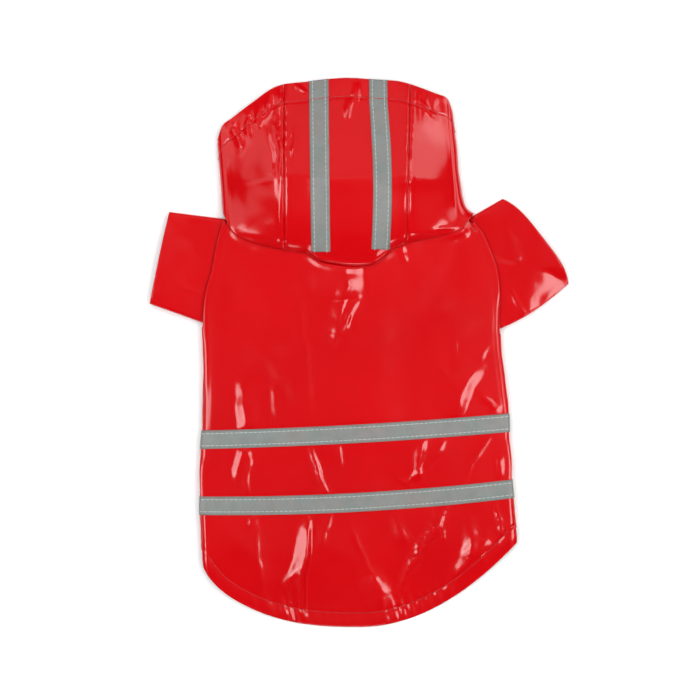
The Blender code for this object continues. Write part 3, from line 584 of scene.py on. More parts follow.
class BackSheet:
    """The back's outer face as rows of points, denser than the solid and with its creases."""

    def __init__(self, cloth):
        sections = len(BACK_SECTIONS) - 1
        per_section = 10
        tail_rows = 62
        # t counts the sections down the back, s goes from 0 to 1 down the tail
        self.t = np.concatenate((
            np.linspace(0.0, sections, sections * per_section + 1),
            np.full(tail_rows, float(sections)),
        ))
        self.s = np.concatenate((
            np.zeros(sections * per_section + 1),
            np.linspace(0.0, 1.0, tail_rows + 1)[1:],
        ))
        self.cloth = cloth
        self.top_columns = 166
        self.folds = len(FOLD_ANGLES) - 1
        self.points = self.make_points()

    def row_y(self, u):
        """y of every row at u, which has one value for each row and column."""
        left, middle, right = self.ends[:3]
        line = middle + 0.5 * (right - left) * u + (0.5 * (left + right) - middle) * u * u
        return lerp(line, hem_y(u), self.s[:, None])

    def make_points(self):
        yl, ym, yr, left, right = read_rows(BACK_SECTIONS, self.t)
        left = lerp(left, TAIL_LEFT, self.s ** 2)
        right = lerp(right, TAIL_RIGHT, np.minimum(1.0, 1.4 * self.s))
        self.ends = [value[:, None] for value in (yl, ym, yr)]
        folded = ease(self.t - (ARMHOLE_END - 1.0)) * (1.0 - ease((self.s - FOLD_END) / 0.2))
        inset = (1.0 - folded) * FOLD_RADIUS * (1.0 - math.cos(math.radians(FOLD_ANGLES[EDGE_ANGLE])))
        self.left = (left - inset)[:, None]
        self.right = (right + inset)[:, None]
        u_across = np.linspace(-1.0, 1.0, self.top_columns + 1)[None, :]
        width = self.right - self.left
        x = lerp(self.left + FOLD_RADIUS, self.right - FOLD_RADIUS, 0.5 * (u_across + 1.0))
        u = 2.0 * (x - self.left) / width - 1.0
        y = self.lap_neck(x, self.row_y(u))
        creases, crinkle = crease_height(BACK_CREASES, x, y)
        inside = ease((1.0 - np.abs(u_across)) * 14.0)
        clear_of_hood = ease((along(NECK_TOP, x) - y + 2.0) / 4.0)
        creases *= self.cloth.crease_strength * inside * clear_of_hood * self.clear_of_tape()
        calm = ease((1.0 - np.abs(u_across)) * 4.5)
        waves = ripple(x, y, 34.0, 3.1) + 0.35 * ripple(x, y, 13.0, 8.4)
        crown = lerp(BODY_CROWN, SINK_TO, ease((SINK[0] - y) / SINK[1]))
        middle_z = 2.0 * FOLD_RADIUS + crown * np.clip(1.0 - u_across ** 2, 0.0, 1.0) ** 0.8
        z = middle_z + creases + (self.cloth.ripple / MM) * waves * calm
        z -= self.roll(ROLL_LEFT, y, x - self.left - FOLD_RADIUS)
        z -= self.roll(ROLL_RIGHT, y, self.right - FOLD_RADIUS - x)
        z = self.lay_down(x, y, z, u_across, creases)
        z += self.neck_rise(x, y, u_across) * inside
        z += self.hem_relief(x, y, u)
        top = np.stack((x, y, z), axis=-1)
        left_fold = self.fold(-1.0, top[:, 0], ROLL_LEFT)
        right_fold = self.fold(1.0, top[:, -1], ROLL_RIGHT)
        self.crinkle = np.pad(crinkle * inside, ((0, 0), (self.folds, self.folds)))
        return np.concatenate((left_fold, top, right_fold[:, ::-1]), axis=1)

    def lap_neck(self, x, y):
        """Carry the neckline up under the hood's lower edge."""
        wanted = np.minimum(along(NECK_TOP, x) + NECK_LAP, NECK_CORNER)
        shift = np.maximum(wanted - y, 0.0)[:1]
        return y + shift * np.clip(1.0 - self.t[:, None] / 2.0, 0.0, 1.0) ** 2

    def neck_rise(self, x, y, u):
        """The cloth is pulled up a little into the neck seam."""
        below = along(NECK_TOP, x) - y
        return (0.35 + 0.65 * np.maximum(u, 0.0) ** 2) * (1.0 - ease(below / (5.8 - 0.8 * u)))

    def clear_of_tape(self):
        """The stiff tapes keep most of a crease down."""
        t = (self.t + TAIL_SECTIONS * self.s)[:, None]
        held = 0.0 * t
        for start, end in (UPPER_BAND, LOWER_BAND):
            held += ease((t - start + 0.15) / 0.15) * ease((end + 0.15 - t) / 0.15)
        return 1.0 - 0.7 * held

    def roll(self, table, y, distance):
        """How far the face has come down near a side fold."""
        return along(table, y) * np.clip(1.0 - distance / ROLL_WIDTH, 0.0, 1.0) ** 2

    def lay_down(self, x, y, z, u, creases):
        """Past the belly's hem the single tail comes down to the surface."""
        left, _, right = BELLY_SECTIONS[-1]
        belly_hem = lerp(left, right, (x - TAIL_LEFT) / (TAIL_RIGHT - TAIL_LEFT))
        fallen = np.clip((belly_hem - TAIL_START - y) / TAIL_FALL, 0.0, 1.0)
        still_up = 1.0 - lerp(fallen, ease(fallen), 0.6)
        low = HEM_LOW + HEM_LIFT * np.abs(u) ** 3
        body = z - low
        return low + body * still_up + np.maximum(creases, -0.2) * 0.85 * (1.0 - still_up)

    def hem_relief(self, x, y, u):
        """The turned hem: a sewn groove, a soft roll below it and puckers along it."""
        depth = self.cloth.tail_hem / MM
        edge = hem_y(u[-1])
        slope = np.gradient(edge, x[-1])
        down = (y - hem_y(u)) / np.sqrt(1.0 + slope ** 2)[None, :]
        steps = np.hypot(np.diff(x[-1]), np.diff(edge))
        run = np.insert(np.cumsum(steps), 0, 0.0)[None, :]
        sunk = ease((x + 62.0) / 20.0)
        groove = -(0.08 + 0.22 * sunk) * bell(down, depth, 0.75)
        roll = (0.10 + 0.15 * sunk) * bell(down, 0.5 * depth, 0.42 * depth)
        loud = 0.20 + 0.55 * bell(x, -47.0, 16.0) + 0.45 * bell(x, 50.0, 30.0)
        waves = pucker(run + 0.25 * down, 2.3, 8.0) * loud
        reach = bell(down, 0.8 * depth, 0.75 * depth)
        return groove + roll + waves * reach * 0.8

    def fold(self, side, rim, roll):
        """Points round a side fold; rim is the upper face's last column."""
        depth, crisp = (along(roll, rim[:, 1], column)[:, None] for column in (1, 2))
        bend = np.radians(FOLD_ANGLES[:-1])[None, :]
        edge = self.left if side < 0 else self.right
        inward = FOLD_RADIUS * (1.0 - np.cos(bend))
        x = edge - side * inward
        top = rim[:, 2][:, None]
        rolled = top - FOLD_RADIUS - 2.0 * depth / ROLL_WIDTH * FOLD_RADIUS * np.cos(bend)
        upper = FOLD_RADIUS + rolled * np.maximum(np.sin(bend), 0.0) ** crisp
        lower = FOLD_RADIUS * (1.0 + np.sin(bend))
        laid = np.clip((top - HEM_LOW) / (2.0 * FOLD_RADIUS - HEM_LOW), 0.0, 1.0)
        z = np.where(bend > 0.0, upper, lower)
        low_edge = top - (1.0 - np.sin(bend)) * FOLD_RADIUS * laid
        z = np.where(top < FOLD_RADIUS + 1.5, low_edge, z)
        u = side * (1.0 - 2.0 * np.abs(x - edge) / (self.right - self.left))
        y = self.row_y(np.where(bend > 0.0, u, side))
        waviness = 0.25 * ripple(y, y * 0.0 + side * 50.0, 16.0, 5.2)
        return np.stack((x + waviness * np.cos(bend), y, z), axis=-1)

    def keep(self):
        """Faces of the side folds exist only between the armholes and the corners of the tail."""
        rows, columns = self.points.shape[:2]
        keep = np.ones((rows - 1, columns - 1), bool)
        folded = (self.t[:-1] >= ARMHOLE_END - 1e-6) & (self.s[1:] <= FOLD_END + 1e-6)
        keep[~folded, :EDGE_ANGLE] = False
        keep[~folded, -EDGE_ANGLE:] = False
        return keep

    def rows_between(self, start, end):
        """Row numbers of the sections from start to end."""
        inside = (self.t >= start - 1e-6) & (self.t <= end + 1e-6) & (self.s == 0.0)
        return np.nonzero(inside)[0]


def side_edge(side, y):
    """x of the body's outline on one side at y."""
    column = 3 if side < 0 else 4
    end = 0 if side < 0 else 2
    tail = lerp(BACK_SECTIONS[-1][column], TAIL_LEFT if side < 0 else TAIL_RIGHT, 0.5)
    points = [(row[end], row[column]) for row in BACK_SECTIONS[::-1]]
    corner = HEM_MIDDLE + (HEM_LEFT_RISE if side < 0 else HEM_RIGHT_RISE)
    return along([(corner + 8.0, tail)] + points, y)


# ---------- belly, sleeves and hood

def root_x(side, y):
    """x of the armhole seam at y."""
    x_top, y_top, x_low, y_low = ROOT[side]
    q = np.clip((y_top - y) / (y_top - y_low), 0.0, 1.0)
    return lerp(x_top, x_low, q) + side * ROOT_BULGE[side] * (1.0 - (2.0 * q - 1.0) ** 2)


def belly_points(side, cloth):
    """One belly piece's outer face, which lies on the surface."""
    t = np.linspace(0.0, len(BELLY_SECTIONS) - 1, 105)
    left, middle, right = read_rows(BELLY_SECTIONS, t)
    at_side = (left if side < 0 else right)[:, None]
    middle = middle[:, None]
    neck_side = at_side[0, 0]
    depth = (middle[0] - middle) / (middle[0] - middle[-1])
    neck_x = side_edge(side, np.array([neck_side]))
    side_neck = along(NECK_UNDER, neck_x) - NECK_CLEARANCE - neck_side
    y_side = at_side + side_neck * (1.0 - depth) ** 3
    edge = side_edge(side, y_side)
    folded = (t >= BELLY_ARMHOLE_END)[:, None]
    bend = np.radians(BELLY_FOLD_ANGLES)[None, :]
    arc_x = edge - side * FOLD_RADIUS * (1.0 - np.cos(bend))
    arc_z = FOLD_RADIUS * (1.0 + np.sin(bend)) + 0.0 * arc_x
    arc = np.stack((arc_x, y_side + 0.0 * arc_x, arc_z), axis=-1)
    start = np.where(folded, edge - side * FOLD_RADIUS, root_x(side, y_side) - side * 0.4)
    q = np.linspace(0.0, 1.0, 81)[None, :]
    x = lerp(start, -side * LAP, q)
    toward = np.clip((x - start) / (0.0 - start), 0.0, 1.0)
    curve = 1.0 - (1.0 - toward) ** 2
    neck_error = along(NECK_UNDER, x) - NECK_CLEARANCE - lerp(neck_side, middle[0], curve)
    y = lerp(at_side, middle, curve) + neck_error * (1.0 - depth) ** 3
    z = np.zeros_like(x)
    if side > 0:
        z = LAP_STACK * ease((LAP + LAP_RAMP + 0.3 - x) / LAP_RAMP)
    loose = ease((np.abs(start - x)) / 12.0)
    z += loose * cloth.crease_strength * np.maximum(crease_height(BELLY_CREASES, x, y)[0], 0.0)
    flat = np.stack((x, y, z), axis=-1)
    points = np.concatenate((arc, flat), axis=1)
    keep = np.ones((points.shape[0] - 1, points.shape[1] - 1), bool)
    keep[~folded[:-1, 0], :len(BELLY_FOLD_ANGLES)] = False
    if side < 0:
        points = points[:, ::-1]
        keep = keep[:, ::-1]
    return points, keep


def beside_line(start, end, x, y):
    """How far each place lies to the right of the way from start to end."""
    dx, dy = end[0] - start[0], end[1] - start[1]
    return (dy * (x - start[0]) - dx * (y - start[1])) / math.hypot(dx, dy)


def sleeve_points(side, creases, cloth):
    """A flattened tube from root to cuff; its last column repeats the first."""
    root, cuff = np.array(ROOT[side]), np.array(CUFF[side])
    t = np.linspace(0.0, 1.0, 49)[:, None]
    ends = lerp(root, cuff, t)
    top = ends[:, :2]
    low = ends[:, 2:] - np.array((0.0, UNDERARM_BULGE[side])) * np.sin(np.pi * t)
    span = np.linalg.norm(low - top, axis=1, keepdims=True)
    across = (low - top) / span
    outward = cuff[:2] + cuff[2:] - root[:2] - root[2:]
    outward = outward / np.linalg.norm(outward)
    radius = lerp(*SLEEVE_RADIUS, t)
    crown = lerp(*SLEEVE_CROWN, t ** 1.5)
    bend = np.radians(np.linspace(-90.0, 90.0, 11))[None, :]
    q = np.linspace(0.0, 1.0, 61)[1:-1][None, :]
    first = radius * (1.0 - np.cos(bend))
    arc_z = radius * (1.0 + np.sign(bend) * np.abs(np.sin(bend)) ** np.where(bend > 0.0, 0.5, 1.0))
    over = lerp(radius, span - radius, q)
    over_z = 2.0 * radius + crown * np.sin(np.pi * q)
    under = lerp(span - radius, radius, q)
    distance = np.concatenate((first, over, (span - first)[:, ::-1], under, first[:, :1]), axis=1)
    z = np.concatenate((arc_z, over_z, arc_z[:, ::-1], 0.0 * under, arc_z[:, :1]), axis=1)
    place = distance / span
    bow = CUFF_BULGE[side] * t * t * (1.0 - (2.0 * place - 1.0) ** 4)
    shift = side * ROOT_BULGE[side] * (1.0 - t) * (1.0 - (2.0 * place - 1.0) ** 2)
    x = top[:, :1] + across[:, :1] * distance + outward[0] * bow + shift
    y = top[:, 1:] + across[:, 1:] * distance + outward[1] * bow
    on_top = np.clip((z - radius) / radius, 0.0, 1.0)
    loose = on_top * ease(t * 4.0)
    z = z + loose * cloth.crease_strength * crease_height(creases, x, y)[0]
    if side > 0:
        start, end, height, slope = PRESSED_CORNER
        top_start, top_end, rise = PRESSED_TOP
        wavy = 0.7 * ripple(x, y, 7.0, 21.4)
        beyond = beside_line(start, end, x, y) + wavy
        above = np.maximum(-beside_line(top_start, top_end, x, y) + wavy, 0.0)
        pressed = np.maximum(height - slope * beyond + rise * above, 1.6)
        z = z - PRESSED_BEND * np.log1p(np.exp(np.minimum((z - pressed) / PRESSED_BEND, 30.0)))
    waves = 0.8 * ripple(x, y, 22.0, 4.4 + side) + 0.3 * ripple(x, y, 9.0, 1.9)
    z = z + loose * (cloth.ripple / MM) * waves
    return np.stack((x, y, z), axis=-1)


class HoodSheet:
    """The hood's three panels as rows of points from brim to neck."""

    def __init__(self, cloth):
        self.cloth = cloth
        # from the brim (1) to the neck (0), closer together at the neck
        self.v = np.linspace(1.0, 0.0, 161)[:, None] ** 1.15

    def flare(self, side):
        """How far the right edge swings out beside a straight line."""
        if side < 0:
            return 0.0 * self.v
        return HOOD_FLARE * (np.exp(-HOOD_FLARE_RATE * self.v) - (1.0 - self.v))

    def radius(self):
        return lerp(*HOOD_RADIUS, self.v)

    def edge(self, side):
        """x of the outline in each row."""
        end = 0 if side < 0 else -1
        return lerp(NECK_TOP[end][0], BRIM_TOP[end][0], self.v) + self.flare(side)

    def arch(self, x):
        """Height of the upper layer at x in each row."""
        left = self.edge(-1) + self.radius()
        right = self.edge(1) - self.radius()
        seam_left, seam_right = lerp(*SEAM[-1], self.v), lerp(*SEAM[1], self.v)
        panel = np.minimum((x - left) / (seam_left - left), (right - x) / (right - seam_right))
        panel = np.clip(panel, 0.0, 1.0) ** 0.82
        middle = np.clip((x - seam_left) / (seam_right - seam_left), 0.0, 1.0)
        skewed = self.v + HOOD_SKEW * np.maximum(x - 5.0, 0.0) * 4.0 * self.v * (1.0 - self.v)
        low = 2.0 * self.radius()
        rise = PANEL_RISE * panel + (1.0 - PANEL_RISE) * (1.0 - (2.0 * middle - 1.0) ** 2)
        return low + (along(HOOD_CROWN, skewed) - low) * rise

    def hem(self, x, length, run):
        """The brim's turned hem: groove, roll and puckers; run is the way along the brim."""
        depth = np.minimum(self.cloth.brim_hem / MM, 0.7 * length)
        down = (1.0 - self.v) * length
        groove = -0.28 * bell(down, depth, 0.75)
        roll = 0.25 * bell(down, 0.5 * depth, 0.45 * depth)
        loud = 0.05 + 0.34 * bell(x, -64.0, 16.0) + 0.12 * bell(x, 52.0, 12.0)
        waves = pucker(run, 5.1, 7.0) * loud
        reach = bell(down, 0.85 * depth, 0.6 * depth)
        return groove + roll + waves * reach * 0.8

    def seam_relief(self, x, y, run_from, seed):
        """The groove at a seam between two panels and the puckers beside it."""
        beside = np.abs(x - run_from)
        groove = -0.34 * np.exp(-(beside / 0.8) ** 1.5) + 0.14 * bell(beside, 2.4, 1.3)
        loud = 0.03 + 0.10 * bell(y, 134.0, 15.0)
        return groove + pucker(y, seed, 7.5) * loud * bell(beside, 0.0, 4.0)

    def top_points(self, x_neck, x_brim, shift=0.0):
        """Upper layer on the lines from x_neck at the neck to x_brim at the brim."""
        v = self.v
        x = lerp(x_neck, x_brim, v) + shift
        y_neck = along(NECK_TOP, x_neck)
        y_brim = along(BRIM_TOP, x_brim)
        y = lerp(y_neck, y_brim, v)
        x = x + self.bow(x_neck) * np.sin(np.pi * np.minimum(1.0, v / STRIP_BOW_END))
        z = self.arch(x)
        inside = ease(v * 9.0) * ease((z - 2.0 * self.radius()) / 1.2)
        creases, crinkle = crease_height(HOOD_CREASES, x, y)
        z = z + inside * self.cloth.crease_strength * creases + self.lip(x, y, y_neck)
        waves = ripple(x, y, 30.0, 2.2) + 0.4 * ripple(x, y, 12.0, 6.6)
        z = z + 0.6 * inside * (self.cloth.ripple / MM) * waves
        z = z + self.hem(x, y_brim - y_neck, x - 0.5 * y_brim)
        ends = ease(v * 16.0)
        for side, seed in ((-1, 1.3), (1, 4.1)):
            z = z + ends * self.seam_relief(x, y, lerp(*SEAM[side], v), seed)
        return np.stack((x, y, z), axis=-1), crinkle * inside

    def lip(self, x, y, y_neck):
        """The middle of the neck edge stands up as a rolled lip."""
        across = ease((x - LIP[0]) / 8.0) * ease((LIP[1] - x) / 8.0)
        back = y - y_neck
        rim = 0.5 * bell(back, 1.4, 1.15) - 0.3 * bell(back, 4.2, 1.8)
        return across * (0.9 * (1.0 - ease(back / 9.0)) + rim)

    def bow(self, x_neck):
        """The right strip bows a little to the right on its way."""
        return STRIP_KINK * ease((x_neck + 5.0) / 13.0) * ease((SEAM[1][0] - x_neck) / 10.0)

    def centre_lines(self):
        """x at the neck and at the brim of the centre panel's columns, with the strips' edges."""
        edges = [SEAM[-1], *STRIP_LEFT, *STRIP_RIGHT, SEAM[1]]
        counts = (16, 10, 24, 10, 10)
        neck = [edges[0][0] + SEAM_GAP]
        brim = [edges[0][1] + SEAM_GAP]
        for k, count in enumerate(counts):
            steps = np.arange(1, count + 1) / count
            neck.extend(lerp(edges[k][0], edges[k + 1][0], steps))
            brim.extend(lerp(edges[k][1], edges[k + 1][1], steps))
        neck[-1] -= SEAM_GAP
        brim[-1] -= SEAM_GAP
        return np.array(neck)[None, :], np.array(brim)[None, :]

    def side_points(self, side):
        """One side panel, from the throat round the fold to its seam, left to right over the top."""
        v = self.v
        end = 0 if side < 0 else -1
        brim_line = BRIM_UNDER[side]
        neck_end = NECK_TOP[end][0]
        brim_end = BRIM_TOP[end][0]
        throat_brim = brim_line[-1][0] if side < 0 else brim_line[0][0]
        fold_neck = neck_end - side * HOOD_RADIUS[0]
        fold_brim = brim_end - side * HOOD_RADIUS[1]
        radius = self.radius()
        p = np.linspace(0.0, 1.0, 53)[:-1][None, :]
        x_neck = lerp(THROAT_NECK[side], fold_neck, p)
        x_brim = lerp(throat_brim, fold_brim, p)
        under_x = lerp(x_neck, x_brim, v) + self.flare(side) * p ** 3
        under_y = lerp(along(NECK_UNDER, x_neck), along(brim_line, x_brim), v)
        under = np.stack((under_x, under_y, 0.0 * under_x), axis=-1)
        bend = np.radians(np.linspace(-90.0, 90.0, 15))[None, :]
        inward = 1.0 - np.cos(bend)
        x_neck = neck_end - side * HOOD_RADIUS[0] * inward
        x_brim = brim_end - side * HOOD_RADIUS[1] * inward
        below = bend < 0.0
        neck = np.where(below, along(NECK_UNDER, x_neck), along(NECK_TOP, x_neck))
        brim = np.where(below, along(brim_line, x_brim), along(BRIM_TOP, x_brim))
        arc_x = self.edge(side) - side * radius * inward
        arc_y = lerp(neck, brim, v)
        arc_z = radius * (1.0 + np.sin(bend))
        wave = 0.3 * ripple(arc_y, arc_x * 0.0 + 20.0 * side, 18.0, 9.1) * np.cos(bend)
        arc = np.stack((arc_x + wave, arc_y, arc_z), axis=-1)
        q = np.linspace(0.0, 1.0, 43)[1:][None, :]
        x_neck, x_brim = (lerp(fold, seam + side * SEAM_GAP, q)
                          for fold, seam in zip((fold_neck, fold_brim), SEAM[side]))
        over, crinkle = self.top_points(x_neck, x_brim, self.flare(side) * (1.0 - q) ** 2)
        points = np.concatenate((under, arc, over), axis=1)
        crinkle = np.pad(crinkle, ((0, 0), (points.shape[1] - over.shape[1], 0)))
        if side > 0:
            return points[:, ::-1], crinkle[:, ::-1]
        return points, crinkle


# ---------- materials

class Wire:
    """A shader socket that ordinary arithmetic can be written with."""

    def __init__(self, tree, socket):
        self.tree = tree
        self.socket = socket

    def node(self, kind, settings=None, **inputs):
        """Add a node: its settings first, then the values or links of its sockets.

        A socket is named with _ for a space, or by _ and its number.
        """
        made = self.tree.nodes.new(kind)
        for name, value in (settings or {}).items():
            setattr(made, name, value)
        for name, value in inputs.items():
            key = int(name[1:]) if name[0] == "_" else name.replace("_", " ")
            socket = made.inputs[key]
            if isinstance(value, Wire):
                self.tree.links.new(value.socket, socket)
            else:
                socket.default_value = value
        return made

    def out(self, kind, output, settings=None, **inputs):
        """Add a node and give one of its outputs."""
        made = self.node(kind, settings, **inputs)
        return Wire(self.tree, made.outputs[output])

    def maths(self, operation, a, b=0.0):
        return self.out("ShaderNodeMath", 0, {"operation": operation}, _0=a, _1=b)

    def __add__(self, other):
        return self.maths("ADD", self, other)

    def __radd__(self, other):
        return self.maths("ADD", other, self)

    def __sub__(self, other):
        return self.maths("SUBTRACT", self, other)

    def __rsub__(self, other):
        return self.maths("SUBTRACT", other, self)

    def __mul__(self, other):
        return self.maths("MULTIPLY", self, other)

    def __rmul__(self, other):
        return self.maths("MULTIPLY", other, self)

    def clipped(self, low=0.0, high=1.0):
        return self.out("ShaderNodeClamp", 0, None, Value=self, Min=low, Max=high)

    def noise(self, scale, detail, roughness=0.5, settings=None, **inputs):
        """Noise at this place, about 0 to 1."""
        return self.out("ShaderNodeTexNoise", "Fac", settings, Vector=self, Scale=scale,
                        Detail=detail, Roughness=roughness, **inputs)

    def cells(self, scale):
        """Distance from this place to the nearest of scattered points."""
        return self.out("ShaderNodeTexVoronoi", "Distance", {"feature": "F1"}, Vector=self,
                        Scale=scale, Randomness=1.0)

    def blend(self, a, b):
        """Colours a to b by this value."""
        settings = {"data_type": "RGBA", "blend_type": "MIX"}
        return self.out("ShaderNodeMix", 2, settings, _0=self, _6=a, _7=b)


def new_material(name):
    """A material with only its Principled shader, and a Wire to build from."""
    material = bpy.data.materials.new(name)
    material.use_nodes = True
    shader = material.node_tree.nodes["Principled BSDF"]
    return material, shader, Wire(material.node_tree, None)


def rgba(colour, factor=1.0):
    """A colour with alpha, scaled."""
    return tuple(min(1.0, channel * factor) for channel in colour) + (1.0,)


def link_surface(shader, colour, roughness, height, strength):
    """Link a shader's colour, its roughness, and bump from a height in metres."""
    bump = height.out("ShaderNodeBump", "Normal", None, Strength=strength, Distance=1.0,
                      Height=height)
    for name, wire in (("Base Color", colour), ("Roughness", roughness), ("Normal", bump)):
        wire.tree.links.new(wire.socket, shader.inputs[name])


def patent_material(cloth):
    """Glossy red coating: a clear film over an even red, with faint crinkles and scuffs."""
    material, shader, wire = new_material("patent_red")
    place = wire.out("ShaderNodeTexCoord", "Object")
    broad = place.noise(14.0, 2.0)
    fine = place.noise(900.0, 2.0, 0.6)
    crinkle = place.noise(62.0, 3.0, 0.45, {"noise_type": "RIDGED_MULTIFRACTAL"}, Distortion=0.6)
    lumps = place.noise(760.0, 1.0)
    crinkled = wire.out("ShaderNodeAttribute", "Fac", {"attribute_name": "crinkle"})
    tone = (0.5 + 1.4 * (broad - 0.5)).clipped()
    colour = tone.blend(rgba(cloth.red, 0.90), rgba(cloth.red, 1.05))
    scuffs = (fine - 0.5) * 0.12 + (broad - 0.5) * 0.10
    height = crinkle * 0.00005 + fine * 0.0000035 + broad * 0.0002 + crinkled * lumps * 0.0006
    link_surface(shader, colour, (0.34 + scuffs).clipped(0.1, 0.6), height, 0.55)
    shader.inputs["Specular IOR Level"].default_value = 0.08
    shader.inputs["Coat Weight"].default_value = 1.0
    shader.inputs["Coat Roughness"].default_value = 0.085
    shader.inputs["Coat IOR"].default_value = 1.5
    return material


def backing_material(cloth):
    """The cloth's uncoated inside: a dull fine weave."""
    material, shader, wire = new_material("cloth_backing")
    lengths = wire.out("ShaderNodeUVMap", "UV", {"uv_map": "cloth"})
    parts = wire.node("ShaderNodeSeparateXYZ", None, Vector=lengths)
    threads = 2.0 * math.pi / WEAVE_PITCH
    warp, weft = (wire.maths("SINE", Wire(wire.tree, parts.outputs[k]) * threads) for k in (0, 1))
    weave = warp * weft
    tone = (0.5 + 0.35 * weave).clipped()
    colour = tone.blend(rgba(cloth.backing, 0.75), rgba(cloth.backing, 1.1))
    link_surface(shader, colour, (0.78 + 0.08 * weave).clipped(), weave * 0.00005, 0.4)
    shader.inputs["Specular IOR Level"].default_value = 0.2
    return material


def tape_material(tape):
    """Grey reflective tape: fine glass beads in a satin film with a faint play of colour."""
    material, shader, wire = new_material("reflective_grey")
    place = wire.out("ShaderNodeTexCoord", "Object")
    beads = place.cells(2600.0)
    cloudy = place.noise(170.0, 3.0, 0.6)
    tint = place.noise(55.0, 1.0)
    red, green, blue = tape.grey
    cool = (red * 0.93, green * 1.02, blue * 1.01, 1.0)
    warm = (red * 1.10, green * 0.98, blue * 0.96, 1.0)
    light = (0.5 + 1.8 * (tint - 0.5)).clipped().blend(cool, warm)
    dark = wire.out("ShaderNodeMix", 2, {"data_type": "RGBA", "blend_type": "MULTIPLY"},
                    _0=1.0, _6=light, _7=(0.80, 0.80, 0.80, 1.0))
    grain = (0.5 + 1.5 * (cloudy - 0.5) - 0.35 * beads).clipped()
    roughness = (0.42 + 0.2 * (cloudy - 0.5)).clipped()
    height = beads * 0.00001 + cloudy * 0.00003
    link_surface(shader, grain.blend(dark, light), roughness, height, 0.5)
    shader.inputs["Metallic"].default_value = 0.25
    return material


def thread_material(name, colour):
    """Twisted sewing thread."""
    material, shader, wire = new_material(name)
    place = wire.out("ShaderNodeTexCoord", "Object")
    twist = wire.out("ShaderNodeTexWave", "Fac", {"bands_direction": "DIAGONAL"},
                     Vector=place, Scale=420.0, Distortion=0.4, Detail=0.0)
    link_surface(shader, twist.blend(rgba(colour, 0.72), rgba(colour, 1.05)),
                 (0.45 + 0.15 * twist).clipped(), twist * 0.00004, 0.5)
    shader.inputs["Sheen Weight"].default_value = 0.15
    return material


def closure_material(cloth):
    """Hook and loop tape: a matted pile."""
    material, shader, wire = new_material("hook_and_loop")
    place = wire.out("ShaderNodeTexCoord", "Object")
    pile = place.cells(1300.0)
    fuzz = place.noise(500.0, 4.0)
    tone = (0.3 + pile * 0.6 + 0.5 * (fuzz - 0.5)).clipped()
    link_surface(shader, tone.blend(rgba(cloth.backing, 0.55), rgba(cloth.backing, 1.0)),
                 (0.85 + 0.1 * fuzz).clipped(), pile * 0.0002, 0.8)
    shader.inputs["Specular IOR Level"].default_value = 0.2
    return material


def shared(name, make, *values):
    """Make a material once and give it again after that."""
    return bpy.data.materials.get(name) or make(*values)


def cloth_materials(cloth):
    """Patent face and dull inside, in the order that the wall expects."""
    return (shared("patent_red", patent_material, cloth),
            shared("cloth_backing", backing_material, cloth))


def make_sheet(name, node, points, wall, materials, flat, area, slot="red_cloth",
               rests_on=("floor",), outward=False, hem=None, **grid):
    """A finished piece of cloth or tape that stands for a solid."""
    item = grid_mesh(name, points, **grid)
    for material in materials:
        item.data.materials.append(material)
    give_wall(item, wall, outward, hem)
    item = plain_mesh(item)
    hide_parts(node)
    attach(item, "root")


def make_tape(name, node, patch, tape, flat, area, under):
    """One length of reflective tape just over the cloth under it."""
    points = patch + cross_normals(patch) * TAPE_GAP
    material = shared("reflective_grey", tape_material, tape)
    make_sheet(name, node, points, tape.wall, (material,), flat, area, "reflective_tape",
               rests_on=(under,), outward=True)


# ---------- stitches

def stitch_tree():
    """Geometry Nodes: thread stitches along curves."""
    tree = bpy.data.node_groups.get("stitches_along_curves")
    if tree:
        return tree
    tree = bpy.data.node_groups.new("stitches_along_curves", "GeometryNodeTree")
    kinds = {"Geometry": "Geometry", "Pitch": "Float", "Length": "Float", "Radius": "Float",
             "Seed": "Int", "Material": "Material"}
    for name, kind in kinds.items():
        tree.interface.new_socket(name, in_out="INPUT", socket_type="NodeSocket" + kind)
    tree.interface.new_socket("Geometry", in_out="OUTPUT", socket_type="NodeSocketGeometry")
    wire = Wire(tree, None)
    sockets = wire.node("NodeGroupInput").outputs
    given = {name: Wire(tree, sockets[name]) for name in kinds}
    spots = wire.node("GeometryNodeCurveToPoints", {"mode": "LENGTH"},
                      Curve=given["Geometry"], Length=given["Pitch"]).outputs
    turn = wire.out("FunctionNodeAlignRotationToVector", "Rotation", {"axis": "X"},
                    Vector=Wire(tree, spots["Tangent"]))
    thread = wire.out("GeometryNodeMeshUVSphere", "Mesh", None, Segments=8, Rings=6, Radius=1.0)
    uneven = wire.out("FunctionNodeRandomValue", 1, {"data_type": "FLOAT"},
                      _2=0.86, _3=1.10, Seed=given["Seed"])
    size = wire.out("ShaderNodeCombineXYZ", 0, None, _0=given["Length"] * 0.5 * uneven,
                    _1=given["Radius"], _2=given["Radius"])
    made = wire.out("GeometryNodeInstanceOnPoints", "Instances", None, Instance=thread,
                    Points=Wire(tree, spots["Points"]), Rotation=turn, Scale=size)
    made = wire.out("GeometryNodeRealizeInstances", "Geometry", None, Geometry=made)
    made = wire.out("GeometryNodeSetShadeSmooth", "Geometry", None, Geometry=made)
    made = wire.out("GeometryNodeSetMaterial", "Geometry", None,
                    Geometry=made, Material=given["Material"])
    wire.node("NodeGroupOutput", None, Geometry=made)
    return tree


